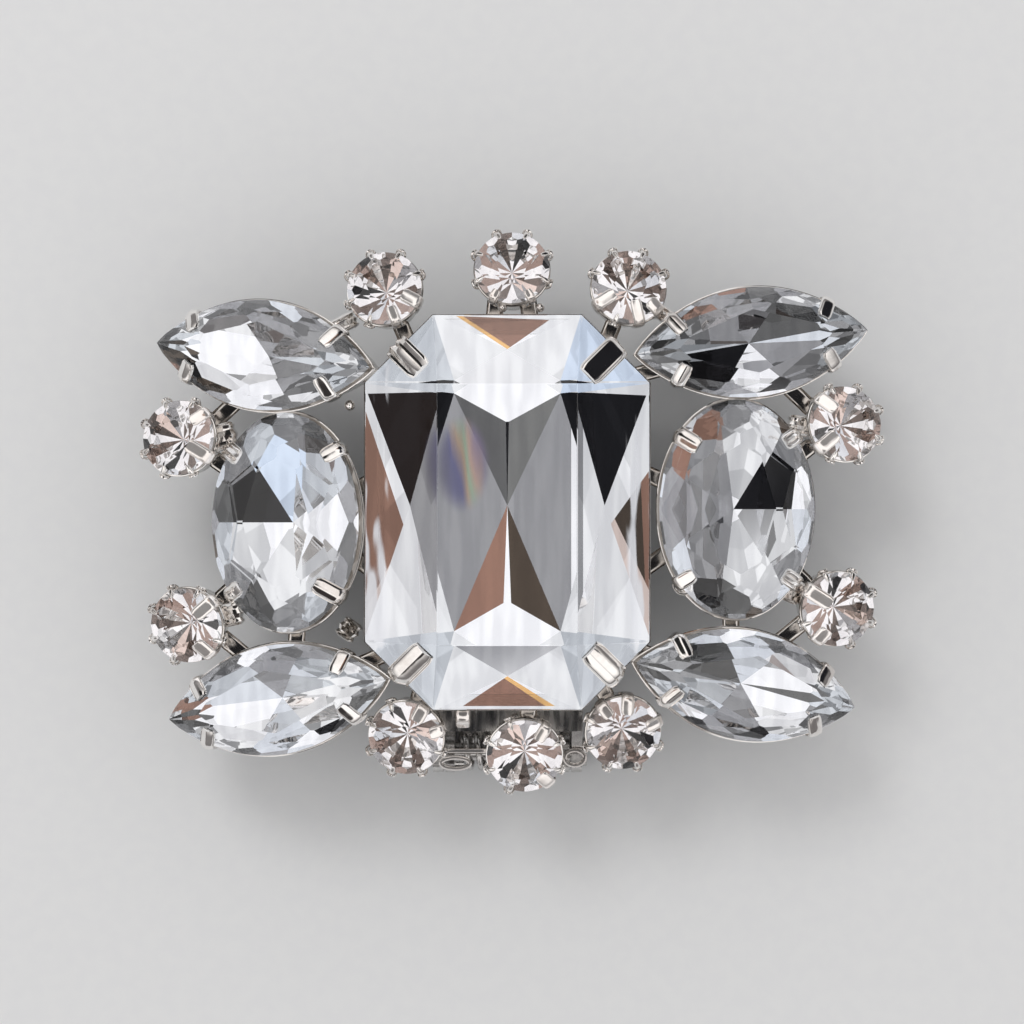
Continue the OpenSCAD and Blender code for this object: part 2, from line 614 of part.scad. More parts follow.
// The spring: a coil round the pin, with a leg on the lever and one on the plate
module coil_spring() {
    half = clip_w / 2 - ear_t - lug_gap - lug_t - 0.25 - wire_d / 2;
    turns = 2 * coil_turns;
    steps = 10;
    count = turns * steps;
    leg = 4.5;
    low = clip_t + wire_d / 2 + 0.08 - pin_z;
    high = plate_z - wire_d / 2 - 0.08 - pin_z;
    function coil(i) =
        let (a = -90 + 360 * i / steps)
        [-half + 2 * half * i / count, coil_r * cos(a), coil_r * sin(a)];
    route = concat(
        [[-half, leg, low], [-half, coil_r * 0.9, -coil_r * 1.02]],
        [for (i = [1:count + 4]) coil(i) - [i > count ? (i - count) * 2 * half / count : 0, 0, 0]],
        [[half, coil_r * 0.9, coil_r * 1.02], [half, leg, high]]
    );
    n = 6;
    m = len(route);
    function along(i) =
        let (p = route[max(i - 1, 0)], q = route[min(i + 1, m - 1)]) (q - p) / norm(q - p);
    function tube_ring(i) =
        let (d = along(i), s = cross(d, [1, 0, 0.02]), u = s / norm(s), v = cross(d, u))
        [for (j = [0:n - 1]) route[i] + wire_d / 2 * (cos(360 * j / n) * u + sin(360 * j / n) * v)];
    points = [for (i = [0:m - 1]) each tube_ring(i)];
    faces = concat(
        [[for (j = [0:n - 1]) j]],
        [for (i = [0:m - 2], j = [0:n - 1], h = [0, 1])
            let (k = (j + 1) % n, a = i * n + j, b = i * n + k, c = (i + 1) * n + k, d = (i + 1) * n + j)
            h == 0 ? [a, c, b] : [a, d, c]],
        [[for (j = [n - 1:-1:0]) (m - 1) * n + j]]
    );
    bright()
        translate([0, pin_y, pin_z])
            polyhedron(points, faces);
}

centre_stone();
oval_stone_left();
oval_stone_right();
boat_stone_top_left();
boat_stone_top_right();
boat_stone_bottom_left();
boat_stone_bottom_right();
round_stone_top_left();
round_stone_top();
round_stone_top_right();
round_stone_right_upper();
round_stone_right_lower();
round_stone_bottom_right();
round_stone_bottom();
round_stone_bottom_left();
round_stone_left_lower();
round_stone_left_upper();
setting_frame();
clip_plate();
clip_lever();
hinge_pin();
coil_spring();
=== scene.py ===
# %% [markdown]
# # A jewelled shoe clip
# The clip is a face of clear cut stones in a soldered metal frame, with a sprung
# clip behind. The solids come from the packed frame. Blender gives the stones
# their true facets, the metal its rounded edges, and everything its finish.

import bmesh
import bpy
import numpy as np
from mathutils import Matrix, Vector


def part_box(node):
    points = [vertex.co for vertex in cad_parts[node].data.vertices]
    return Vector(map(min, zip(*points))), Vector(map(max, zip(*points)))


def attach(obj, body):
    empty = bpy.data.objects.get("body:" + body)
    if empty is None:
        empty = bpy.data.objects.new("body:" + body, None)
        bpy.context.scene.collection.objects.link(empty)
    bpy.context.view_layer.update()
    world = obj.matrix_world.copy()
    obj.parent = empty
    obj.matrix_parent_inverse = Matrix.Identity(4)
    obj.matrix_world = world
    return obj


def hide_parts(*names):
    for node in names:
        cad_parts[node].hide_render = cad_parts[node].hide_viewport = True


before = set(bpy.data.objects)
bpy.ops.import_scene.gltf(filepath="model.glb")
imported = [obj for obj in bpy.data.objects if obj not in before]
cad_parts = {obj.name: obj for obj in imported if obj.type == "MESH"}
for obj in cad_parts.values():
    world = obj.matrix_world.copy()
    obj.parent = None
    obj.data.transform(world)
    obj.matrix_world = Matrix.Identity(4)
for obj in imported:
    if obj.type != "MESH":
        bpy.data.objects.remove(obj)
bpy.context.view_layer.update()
MM = 0.001
print("nodes:", len(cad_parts))

# %% [markdown]
# ## Shader maths as plain expressions
# A material is a tree of nodes. To keep the formulas readable, `Value` wraps one
# socket, so that `1 - mask * 0.5` adds the two Math nodes it needs. `Tree.add`
# makes any other node from its type, its settings and its inputs.

# %% A small language for shader nodes
class Value:
    """One output socket of a tree; arithmetic on it adds Math nodes."""

    def __init__(self, tree, socket):
        self.tree, self.socket = tree, socket

    def math(self, operation, *inputs):
        """One Math node with these inputs."""
        return self.tree.add("ShaderNodeMath", {"operation": operation}, dict(enumerate(inputs)))

    def __add__(self, other):
        return self.math("ADD", self, other)

    def __mul__(self, other):
        return self.math("MULTIPLY", self, other)

    def __sub__(self, other):
        return self.math("SUBTRACT", self, other)

    def __rsub__(self, other):
        return self.math("SUBTRACT", other, self)

    def step(self, low, high, bottom=0.0, top=1.0):
        """Rises smoothly from bottom to top as the value goes from low to high."""
        values = {0: self, 1: low, 2: high, 3: bottom, 4: top}
        return self.tree.add("ShaderNodeMapRange", {"interpolation_type": "SMOOTHSTEP"}, values)


class Tree:
    """The node tree of a material or of the world."""

    def __init__(self, owner):
        owner.use_nodes = True
        self.tree = owner.node_tree
        self.tree.nodes.clear()

    def add(self, kind, settings=None, inputs=None, output=0):
        """Any node: its type, its settings, its sockets' values or links."""
        node = self.tree.nodes.new(kind)
        for name, value in (settings or {}).items():
            if name == "stops":
                ramp = node.color_ramp
                ramp.elements[0].position, ramp.elements[1].position = value[0][0], value[-1][0]
                for position, _ in value[1:-1]:
                    ramp.elements.new(position)
                for element, (_, colour) in zip(ramp.elements, value):
                    element.color = (*colour, 1)
            else:
                setattr(node, name, value)
        for key, value in (inputs or {}).items():
            if isinstance(value, Value):
                self.tree.links.new(value.socket, node.inputs[key])
            elif isinstance(value, tuple) and node.inputs[key].type == "RGBA":
                node.inputs[key].default_value = (*value, 1)
            else:
                node.inputs[key].default_value = value
        return Value(self, node.outputs[output] if node.outputs else None)

    def mix(self, share, first, second):
        """A colour between first and second."""
        return self.add("ShaderNodeMix", {"data_type": "RGBA"}, {0: share, 6: first, 7: second}, 2)

    def times(self, first, second):
        """Two colours multiplied."""
        settings = {"data_type": "RGBA", "blend_type": "MULTIPLY"}
        return self.add("ShaderNodeMix", settings, {0: 1.0, 6: first, 7: second}, 2)

    def place(self):
        """Object coordinates, in metres."""
        return self.add("ShaderNodeTexCoord", output=3)

    def axes(self, vector):
        """The x, y and z of a vector, as three values."""
        return [self.add("ShaderNodeSeparateXYZ", None, {0: vector}, i) for i in range(3)]

    def noise(self, scale, detail=3.0, roughness=0.5):
        """Cloudy noise; a higher scale makes it finer."""
        inputs = {"Vector": self.place(), "Scale": scale, "Detail": detail, "Roughness": roughness}
        return self.add("ShaderNodeTexNoise", None, inputs)

    def scratches(self, scale, stretch):
        """Fine lines: noise whose coordinates are squeezed along two axes."""
        squeezed = self.add("ShaderNodeMapping", None, {"Vector": self.place(), "Scale": stretch})
        return self.add("ShaderNodeTexNoise", None, {"Vector": squeezed, "Scale": scale, "Detail": 1.0})

    def bump(self, height, strength, distance):
        """A normal that leans as if the surface had this height."""
        inputs = {"Height": height, "Strength": strength, "Distance": distance}
        return self.add("ShaderNodeBump", None, inputs)


def material(name, build):
    """A new material whose surface is what build returns for its tree."""
    m = bpy.data.materials.new(name)
    t = Tree(m)
    t.add("ShaderNodeOutputMaterial", None, {0: build(t)})
    return m


print("shader language ready:", [name for name in vars(Tree) if not name.startswith("_")])

# %% [markdown]
# ## Studio
# Cut glass and plating have hardly any colour of their own: they show the studio.
# Three kinds of ray meet it. Rays that leave a stone see a bright surround, so that the reflection
# painted on each facet's foil gives the tone. Mirror rays from the plating see soft white boxes between
# dark gaps, as polished metal needs. Everything else sees plain grey.

# %% The studio's light
def studio(world):
    """Brightness by direction and by kind of ray."""
    t = Tree(world)
    axes = t.axes(t.add("ShaderNodeTexCoord"))

    def towards(x, y, z, inner, outer):
        """1 within inner degrees of a direction, 0 past outer degrees."""
        n = np.array([x, y, z]) / np.linalg.norm([x, y, z])
        along = axes[0] * float(n[0]) + axes[1] * float(n[1]) + axes[2] * float(n[2])
        return along.step(float(np.cos(np.radians(outer))), float(np.cos(np.radians(inner))))

    def paint(colour, patches):
        """Lays round patches of light or dark over a colour, one after another."""
        for x, y, z, inner, outer, light in patches:
            colour = t.mix(towards(x, y, z, inner, outer), colour, light)
        return colour

    # each patch: x, y, z of its direction, inner and outer degrees, colour
    for_stones = paint(t.mix(axes[2].step(0.0, 0.7), (0.78, 0.78, 0.79), (1.12, 1.12, 1.14)), [
        (0.9, 0.5, 0.25, 9, 13, (0.16, 0.16, 0.17)),
        (-0.9, 0.6, 0.3, 10, 13, (0.2, 0.2, 0.2)),
        (0.2, -1, 0.22, 9, 12, (0.14, 0.13, 0.13)),
        (-0.6, -0.9, 0.2, 8, 11, (0.3, 0.24, 0.22)),
        (-0.1, 1, 0.2, 8, 11, (0.25, 0.25, 0.27)),
        (1, -0.4, 0.3, 8, 11, (0.34, 0.3, 0.28)),
    ])
    for_metal = paint(t.mix(axes[2].step(0.1, 0.5), (0.2, 0.19, 0.19), (1.15, 1.12, 1.1)), [
        (0, 0, 1, 18, 26, (0.02, 0.02, 0.022)),
        (1, 1, 0.8, 24, 30, (0.015, 0.015, 0.018)),
        (-1, 1, 0.8, 16, 21, (0.02, 0.02, 0.02)),
        (-0.1, -1, 0.7, 14, 18, (0.04, 0.035, 0.035)),
        (1, 0, 0.7, 12, 15, (0.05, 0.05, 0.06)),
        (-1, -0.1, 0.9, 7, 10, (0.3, 0.2, 0.16)),
        (0.4, 1, 1.2, 6, 9, (0.32, 0.2, 0.14)),
    ])

    def ray(kind):
        """1 for rays of this kind, otherwise 0."""
        return t.add("ShaderNodeLightPath", output=f"Is {kind} Ray")

    colour = t.mix(ray("Transmission"), for_metal, for_stones)
    colour = t.mix(ray("Diffuse"), colour, (0.7, 0.7, 0.71))
    colour = t.mix(ray("Camera"), colour, (0.8, 0.8, 0.81))
    t.add("ShaderNodeOutputWorld", None, {0: t.add("ShaderNodeBackground", None, {0: colour, 1: 1.0})})


bpy.context.scene.world = bpy.data.worlds.new("studio")
studio(bpy.context.scene.world)
print("world:", bpy.context.scene.world.name)

# %% [markdown]
# One broad lamp, high up at the back on the left, gives the floor a soft shadow.
# It is left out of reflections, where a square lamp would show as a square.

# %% The lamp
def soft_box(name, x, y, z, size, watts):
    """An area light, aimed at the clip; places in millimetres."""
    light = bpy.data.lights.new(name, "AREA")
    light.size, light.energy = size * MM, watts
    lamp = bpy.data.objects.new(name, light)
    lamp.location = Vector((x, y, z)) * MM
    lamp.rotation_euler = (-lamp.location).to_track_quat("-Z", "Y").to_euler()
    bpy.context.scene.collection.objects.link(lamp)
    lamp.visible_glossy = lamp.visible_transmission = False
    return lamp


soft_box("key_light", -160, 260, 380, 160, 0.5)

# %% [markdown]
# ## Glass and foil
# The stones are clear glass with silvered backs. The crown is a plain refracting glass. The back is a
# mirror whose colour is painted facet by facet with the reflection each facet shows, from a colour
# attribute that each stone's mesh carries, with fine streaks over it. Light that the foil has already
# mirrored once meets plain silver, or the many bounces inside a stone would multiply the painted tones
# to black. At the third meeting the foil glows with painted light, which stands for all the bounces
# after.
# One long facet of the centre stone also has an oily, rainbow-like bloom.

# %% Glass
def glass(tint):
    """Clear cut glass of a faint tint, with a few fainter specks."""
    def build(t):
        specks = t.noise(2600.0, 0.0).step(0.72, 0.8)
        return t.add("ShaderNodeBsdfPrincipled", None, {
            "Base Color": t.mix(specks * 0.5, tint, tuple(0.97 * c for c in tint)),
            "Roughness": 0.0, "IOR": 1.54, "Transmission Weight": 1.0})
    return build


CLEAR_GLASS = material("clear_glass", glass((0.985, 0.99, 1.0)))
WARM_GLASS = material("warm_glass", glass((1.0, 0.965, 0.945)))
print("glass:", CLEAR_GLASS.name, WARM_GLASS.name)

# %% Bloom, and flames of painted highlight, on the centre stone's foil only
BLOOM_AT = (-2.9, 2.9)      # its middle, in millimetres
BLOOM_SIZE = (1.9, 3.2)     # its half width and half length


def bloom(t, tone, grain):
    """Rainbow colours of a thin film, across an oval patch of the foil."""
    x, y, _ = t.axes(t.place())
    across = (x - BLOOM_AT[0] * MM) * (1 / (BLOOM_SIZE[0] * MM))
    along = (y - BLOOM_AT[1] * MM) * (1 / (BLOOM_SIZE[1] * MM))
    film = across + along * 0.35 + grain * 0.6
    rainbow = t.add("ShaderNodeValToRGB", {"stops": [
        (0.0, (0.17, 0.165, 0.21)), (0.2, (0.15, 0.15, 0.26)), (0.38, (0.40, 0.30, 0.22)),
        (0.52, (0.30, 0.38, 0.28)), (0.66, (0.42, 0.30, 0.25)), (0.8, (0.22, 0.18, 0.27)),
        (1.0, (0.20, 0.20, 0.21))]}, {0: film.step(-0.7, 1.7)})
    near = 1 - (across * across + along * along).step(0.25, 1.05)
    return t.mix(near * 0.92, tone, rainbow)


FLAMES_PAST = 7.1           # the side facets lie further out than this


def flames(t, tone):
    """Painted highlights: white tongues, long and narrow, over the foil of the side facets."""
    x, _, _ = t.axes(t.place())
    side = (x * x).step((FLAMES_PAST * MM) ** 2, ((FLAMES_PAST + 0.4) * MM) ** 2)
    # White tongues of painted highlight over the side facets.
    highlight_tongues = t.scratches(330.0, (2.6, 0.55, 1.0)).step(0.53, 0.6)
    return t.mix(side * highlight_tongues * 0.9, tone, (0.95, 0.95, 0.97))


print("bloom at", BLOOM_AT, "flames past", FLAMES_PAST)

# %% Foil
def foil(even, bloomed=False):
    """A silvered back, coloured with each facet's painted reflection. At the third meeting it glows with
    painted light: a share, even, of one plain silver, and for the rest the brightness of the facet's
    painted tone."""
    def build(t):
        grain = t.scratches(500.0, (2.6, 0.35, 1.0))
        # Each facet's tone is a painted reflection: what the facet mirrors, laid into the foil's colour.
        tone = t.add("ShaderNodeAttribute", {"attribute_name": "foil_tone"})
        if bloomed:
            tone = flames(t, bloom(t, tone, grain))
        tone = t.times(tone, t.mix(grain.step(0.35, 0.7), (0.86, 0.86, 0.87), (1.0, 1.0, 1.0)))
        grey = t.add("ShaderNodeAttribute", {"attribute_name": "foil_tone"}, output="Fac")
        mirrored = t.add("ShaderNodeLightPath", output="Glossy Depth")
        # The painted reflection shows only where the foil is met first; past that the foil is plain
        # silver.
        mirror = t.add("ShaderNodeBsdfPrincipled", None, {
            "Base Color": t.mix(mirrored.step(0.4, 0.6), tone, (0.95, 0.95, 0.955)), "Metallic": 1.0,
            "Roughness": grain.step(0.3, 0.8, 0.0, 0.03)})
        # Painted light: from the third meeting on, the foil glows in place of mirroring.
        painted_glow = t.add("ShaderNodeBsdfPrincipled", None, {
            "Base Color": (0.0, 0.0, 0.0), "Roughness": 1.0, "Specular IOR Level": 0.0,
            "Emission Color": t.mix(even, grey, (0.92, 0.93, 0.95)), "Emission Strength": 1.0})
        return t.add("ShaderNodeMixShader", None, {0: mirrored.step(1.4, 1.6), 1: mirror, 2: painted_glow})
    return build


FOIL = material("silver_foil", foil(0.25))
EVEN_FOIL = material("even_foil", foil(0.6))
BLOOMED_FOIL = material("bloomed_foil", foil(0.8, bloomed=True))
print("foils:", FOIL.name, EVEN_FOIL.name, BLOOMED_FOIL.name)

# %% [markdown]
# ## Plating, steel and paint
# Bright plating is a mirror that isn't perfect: polishing lines roughen it along
# one way, and a thin film dulls it in clouds. The same lines give a slight bump.
# The clip's steel was rolled, so its lines are stronger and it is less bright.

# %% Plating, steel and paint
def plating(base, dark, rough, metallic=1.0):
    """Bright nickel plating: a mirror with polishing lines, faint specks and a
    slightly darker, rougher film in patches."""
    def build(t):
        lines = t.scratches(1800.0, (0.25, 1.0, 1.0))
        film = t.noise(350.0, 5.0, 0.6).step(0.42, 0.7)
        height = lines * 0.6 + t.noise(3500.0, 2.0) * 0.4
        return t.add("ShaderNodeBsdfPrincipled", None, {
            "Base Color": t.mix(film, base, dark), "Metallic": metallic,
            "Roughness": lines.step(0.3, 0.75, rough, rough + 0.1),
            "Normal": t.bump(height, 0.25, 0.00002)})
    return build


def brushed_steel(t):
    """Rolled steel: strong lines along one way, darker in clouds."""
    lines = t.scratches(2600.0, (1.0, 0.12, 1.0))
    film = t.noise(220.0, 5.0, 0.65).step(0.45, 0.75)
    return t.add("ShaderNodeBsdfPrincipled", None, {
        "Base Color": t.mix(film, (0.62, 0.61, 0.6), (0.42, 0.4, 0.38)), "Metallic": 1.0,
        "Roughness": lines.step(0.25, 0.8, 0.14, 0.34), "Normal": t.bump(lines, 0.35, 0.00003)})


def floor_paint(t):
    """Pale matt paint with the faintest mottle."""
    fine = t.noise(900.0)
    colour = t.mix(fine.step(0.3, 0.7), (0.77, 0.77, 0.77), (0.785, 0.785, 0.78))
    return t.add("ShaderNodeBsdfPrincipled", None, {"Base Color": colour, "Roughness": 0.6})


BRIGHT = material("bright_plating", plating((0.93, 0.91, 0.89), (0.72, 0.68, 0.65), 0.03))
PALE = material("pale_plating", plating((0.99, 0.95, 0.92), (0.9, 0.84, 0.8), 0.05, 0.72))
CUP_PLATING = material("cup_plating", plating((0.68, 0.65, 0.62), (0.52, 0.49, 0.46), 0.08))
STEEL = material("brushed_steel", brushed_steel)
FLOOR_PAINT = material("floor_paint", floor_paint)
print("materials:", [m.name for m in bpy.data.materials])

# %% [markdown]
# ## Camera and floor
# The photograph looks straight down on the clip, so the camera hangs above it. The
# lens is worked out from how much of the stones' plane the picture has to hold.

# %% Camera and floor
CAMERA_HEIGHT = 208
FACE_HEIGHT = 8             # of the plane on which the field is measured
FIELD = 66                  # millimetres of that plane across the picture
AIM = (0.3, -0.13)          # the point under the camera
SENSOR = 36
FLOOR_REACH = 3             # metres from the middle to the floor's edges

camera = bpy.data.objects.new("camera", bpy.data.cameras.new("camera"))
camera.location = Vector((AIM[0], AIM[1], CAMERA_HEIGHT)) * MM
camera.data.sensor_width = SENSOR
camera.data.lens = SENSOR * (CAMERA_HEIGHT - FACE_HEIGHT) / FIELD
camera.data.clip_start, camera.data.clip_end = 0.005, 20
bpy.context.scene.collection.objects.link(camera)
bpy.context.scene.camera = camera

corners = np.array([(-1, -1, 0), (1, -1, 0), (1, 1, 0), (-1, 1, 0)]) * FLOOR_REACH
plane = bpy.data.meshes.new("floor")
plane.from_pydata(corners, [], [(0, 1, 2, 3)])
plane.materials.append(FLOOR_PAINT)
floor = bpy.data.objects.new("floor", plane)
bpy.context.scene.collection.objects.link(floor)
print("lens:", round(camera.data.lens, 1), "mm")

# %% [markdown]
# ## Where the stones sit
# Every stone has its own axes: its edge band lies round the origin and its table
# faces up. A seat turns it, leans it over and carries it to its place in the face.

# %% Seats
# name: middle of the edge band (x, y, z), turn of the long side, the way the
# stone leans, and how much; millimetres and degrees
SEATS = {
    "centre_stone": (0, -0.15, 11.1, 0, 0, 0),
    "oval_stone_left": (-14.15, -0.8, 9.8, 0, 180, 16.5),
    "oval_stone_right": (14.65, 0.05, 9.8, 0, 0, 4),
    "boat_stone_top_left": (-15.63, 9.88, 10, -7.5, 172.5, 20),
    "boat_stone_top_right": (15.62, 10.7, 10, 6.3, 6.3, 6.5),
    "boat_stone_bottom_left": (-14.7, -12.1, 10, 11, 191, 16),
    "boat_stone_bottom_right": (15.21, -11.17, 10, -12, -12, 14),
    "round_stone_top_left": (-7.88, 14.2, 9.05, 0, 115, 14),
    "round_stone_top": (0.3, 15.5, 9.05, 0, 90, 15),
    "round_stone_top_right": (7.8, 14.27, 9.05, 0, 65, 12),
    "round_stone_right_upper": (21.65, 5.52, 9.05, 0, 26.57, 15),
    "round_stone_right_lower": (21.18, -6.35, 9.05, 0, -32.29, 14),
    "round_stone_bottom_right": (7.45, -14.28, 9.05, 0, -65, 14),
    "round_stone_bottom": (1.1, -15.75, 9.05, 0, -90, 14),
    "round_stone_bottom_left": (-6.5, -14.6, 9.05, 0, -115, 14),
    "round_stone_left_lower": (-20.55, -7.4, 9.05, 0, -146.33, 17),
    "round_stone_left_upper": (-21.06, 4.62, 9.05, 0, 153.43, 16),
}


def seat(name):
    """The 4 x 4 matrix that carries a stone from its own axes to its seat: turned
    about Z, then leaned over towards a compass direction, then moved."""
    x, y, z, turn, way, lean = SEATS[name]
    turn, way, lean = np.radians([turn, way, lean])

    def about_z(a):
        return np.array([[np.cos(a), -np.sin(a), 0], [np.sin(a), np.cos(a), 0], [0, 0, 1]])

    over = np.array([[np.cos(lean), 0, np.sin(lean)], [0, 1, 0], [-np.sin(lean), 0, np.cos(lean)]])
    m = np.eye(4)
    m[:3, :3] = about_z(way) @ over @ about_z(-way) @ about_z(turn)
    m[:3, 3] = x, y, z
    return m


def seated(points, name):
    """Points of a stone's own axes, carried to its seat."""
    m = seat(name)
    return points @ m[:3, :3].T + m[:3, 3]


print("seats:", len(SEATS))

# %% [markdown]
# ## Cut the stones
# A real stone is ground, facet by facet, from a rough block, and so are these: a
# prism of the outline is cut by one plane for each facet. A kind of stone is its
# outline and a list of tiers; a tier is a number of equal facets at one slope.

# %% Kinds of stone
class Kind:
    """The outline and the tiers of facets of one kind of stone, in millimetres."""

    def __init__(self, half_x, half_y, point, band, crown, back, tiers):
        self.half = half_x, half_y
        self.point, self.band, self.crown, self.back, self.tiers = point, band, crown, back, tiers

    def outline(self, t, inset=0.0):
        """Points at angle t: x goes with the cosine, y with the sine to a power,
        which draws the ends of a boat shape to points."""
        s = np.sin(t)
        x = (self.half[0] - inset) * np.cos(t)
        y = (self.half[1] - inset) * np.sign(s) * np.abs(s) ** self.point
        return np.stack([x, y], -1)

    def outward(self, t):
        """Unit directions square to the outline."""
        d = self.outline(t + 0.02) - self.outline(t - 0.02)
        n = np.stack([d[..., 1], -d[..., 0]], -1)
        return n / np.linalg.norm(n, axis=-1, keepdims=True)

    def edge(self, degrees):
        """The outline's point at an angle, and the direction out from it."""
        t = np.radians(degrees)
        return self.outline(t), self.outward(t)

    def planes(self, tier):
        """A tier's facets: a point on each and its outward direction."""
        up, count, turn, slope, inset, height = tier
        t = np.radians(turn) + np.arange(count) * 2 * np.pi / count
        n = self.outward(t)
        if slope is None:  # the facets run down to a point under the middle
            steep = (inset * self.back - height) / (self.outline(t) * n).sum(-1, keepdims=True)
            inset = 0
        else:
            steep = np.full((count, 1), np.tan(np.radians(slope)))
        p = self.outline(t) - n * inset
        z = np.full((count, 1), up * (self.band / 2 + height))
        c = 1 / np.sqrt(1 + steep ** 2)
        return np.hstack([p, z]), np.hstack([n * c * steep, up * c])


# %% Grinding
def grind(bm, point, normal):
    """Takes off all that lies past a plane, and closes the cut with one flat facet."""
    everything = bm.verts[:] + bm.edges[:] + bm.faces[:]
    cut = bmesh.ops.bisect_plane(
        bm, geom=everything, dist=1e-4, plane_co=point, plane_no=normal, clear_outer=True)
    rim = [e for e in cut["geom_cut"] if isinstance(e, bmesh.types.BMEdge)]
    if rim:
        bmesh.ops.holes_fill(bm, edges=rim)


def rough_block(kind, sides=72):
    """A prism of the stone's outline."""
    t = np.arange(sides) * 2 * np.pi / sides + 1e-3
    ring = kind.outline(t)
    heights = (-kind.band / 2 - kind.back, kind.band / 2 + kind.crown)
    bm = bmesh.new()
    low, high = ([bm.verts.new((*p, z)) for p in ring] for z in heights)
    bm.faces.new(low[::-1])
    bm.faces.new(high)
    for i in range(sides):
        j = (i + 1) % sides
        bm.faces.new((low[i], low[j], high[j], high[i]))
    return bm


def cut_stone(kind):
    """The rough block, ground tier by tier and facet by facet."""
    bm = rough_block(kind)
    for tier in kind.tiers:
        for point, normal in zip(*kind.planes(tier)):
            grind(bm, point, normal)
    return bm


def hull_stone(points):
    """The stone that wraps a set of corners, with flat triangles joined to facets."""
    bm = bmesh.new()
    for p in points:
        bm.verts.new(p)
    bmesh.ops.convex_hull(bm, input=bm.verts[:])
    bmesh.ops.dissolve_limit(bm, angle_limit=np.radians(0.5), verts=bm.verts[:], edges=bm.edges[:])
    return bm


print("a rough block has", len(rough_block(Kind(5, 7, 1, 0.5, 1.5, 2.9, [])).faces), "faces")

# %% [markdown]
# ## Paint each facet's reflection
# The painted reflection tone of each back facet is one letter. A row of letters goes round the stone
# once, in the order in which its facets are cut.

# %% Painted reflection tones of the foil
PAINTED_TONES = {
    "w": (0.97, 0.97, 0.98),        # white
    "l": (0.70, 0.73, 0.77),        # light
    "c": (0.74, 0.84, 0.99),        # cold light
    "p": (0.80, 0.66, 0.60),        # pale copper
    "m": (0.34, 0.34, 0.35),        # middle grey
    "h": (0.19, 0.19, 0.185),       # half dark
    "g": (0.13, 0.13, 0.13),        # dark grey
    "k": (0.015, 0.015, 0.017),     # black
    "q": (0.36, 0.27, 0.235),       # grey-brown
    "b": (0.32, 0.185, 0.14),       # brown
    "n": (0.16, 0.125, 0.11),       # dark brown
    "d": (0.09, 0.07, 0.055),       # nearly black brown
    "o": (0.86, 0.52, 0.22),        # orange
}
print("tones:", "".join(PAINTED_TONES))


def paint_reflection_tones(mesh, listed, letters):
    """Each facet is painted with the reflection tone of the listed direction that lies nearest its own,
    or, where places are listed, of the place nearest its middle. Every corner of the facet carries that
    colour."""
    count = len(mesh.polygons)
    facing, sides = np.empty(count * 3, np.float32), np.empty(count, np.int32)
    mesh.polygons.foreach_get("normal", facing)
    mesh.polygons.foreach_get("loop_total", sides)
    if len(listed[0]) == 3:
        nearest = np.argmax(facing.reshape(-1, 3) @ np.asarray(listed, np.float32).T, axis=1)
    else:
        middle = np.array([p.center[:2] for p in mesh.polygons])
        nearest = np.argmin(np.linalg.norm(middle[:, None] - np.array(listed)[None], axis=2), axis=1)
    colours = np.array([(*PAINTED_TONES[c], 1) for c in letters], np.float32)[nearest]
    layer = mesh.color_attributes.new("foil_tone", "FLOAT_COLOR", "CORNER")
    layer.data.foreach_set("color", np.repeat(colours, sides, axis=0).ravel())


# %% [markdown]
# ## Hand a piece over
# Every finished piece is handed over in the same way: it rides on one of the two bodies and replaces a
# solid of the frame.

# %% Hand a piece over
def hand_over(piece, slot, node, body="face"):
    """Puts a piece in the scene, on its body, in place of its node."""
    bpy.context.scene.collection.objects.link(piece)
    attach(piece, body)
    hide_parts(node)
    print(piece.name, len(piece.data.polygons), "faces")


# %% [markdown]
# ## Finish a stone
# Glass is never quite sharp. The edges between the crown's facets get a flat a few
# hundredths of a millimetre wide, which catches the light as the bright thin lines
# do on the real stones. Faces that look up are glass, and all the others foil.

# %% Finish a stone
EDGE = 0.035                # width of the softened edges between crown facets
FLAT = 0.08                 # radians; facets that meet flatter than this stay as they are
JOIN = 0.002                # corners nearer than this are joined
GLASS_ABOVE = 0.3           # faces whose normal rises more than this are glass
BACK_BELOW = -0.05          # and those whose normal falls below this are back facets


def finish_stone(name, bm, slot, listed, letters, clear, silver):
    """Softens a stone, gives it its painted reflection tones, seats it and hands it over."""
    bmesh.ops.remove_doubles(bm, verts=bm.verts[:], dist=JOIN)
    bmesh.ops.recalc_face_normals(bm, faces=bm.faces[:])
    crown = [e for e in bm.edges if all(f.normal.z > BACK_BELOW for f in e.link_faces)
             and e.calc_face_angle(0) > FLAT and e.calc_length() > 3 * EDGE]
    bmesh.ops.bevel(bm, geom=crown, offset=EDGE, segments=1, affect="EDGES", clamp_overlap=True)
    for f in bm.faces:
        f.material_index = int(f.normal.z < GLASS_ABOVE)
        f.smooth = False
    mesh = bpy.data.meshes.new(name)
    bm.to_mesh(mesh)
    bm.free()
    paint_reflection_tones(mesh, listed, letters)
    points = np.empty(len(mesh.vertices) * 3)
    mesh.vertices.foreach_get("co", points)
    mesh.vertices.foreach_set("co", (seated(points.reshape(-1, 3), name) * MM).ravel())
    mesh.update()
    mesh.materials.append(clear)
    mesh.materials.append(silver)
    hand_over(bpy.data.objects.new("cut_" + name, mesh), slot, name)


# %% [markdown]
# ### The oblong centre stone
# The crown has a rectangular table, four broad slopes and four corner facets. The
# back has a keel. Long kites lie beside the keel and short ones past its ends,
# which is what draws the big X that shows through the table.

# %% The centre stone's sizes
OBLONG_X, OBLONG_Y, CORNER_CUT = 9, 12.5, 4.3           # half width, half length, corner
HALF_BAND, CROWN, BACK = 0.45, 1.9, 4.0
TABLE_IN_X, TABLE_IN_Y, TABLE_DOWN = 4.6, 4.3, 0.15     # from the edges; down the face
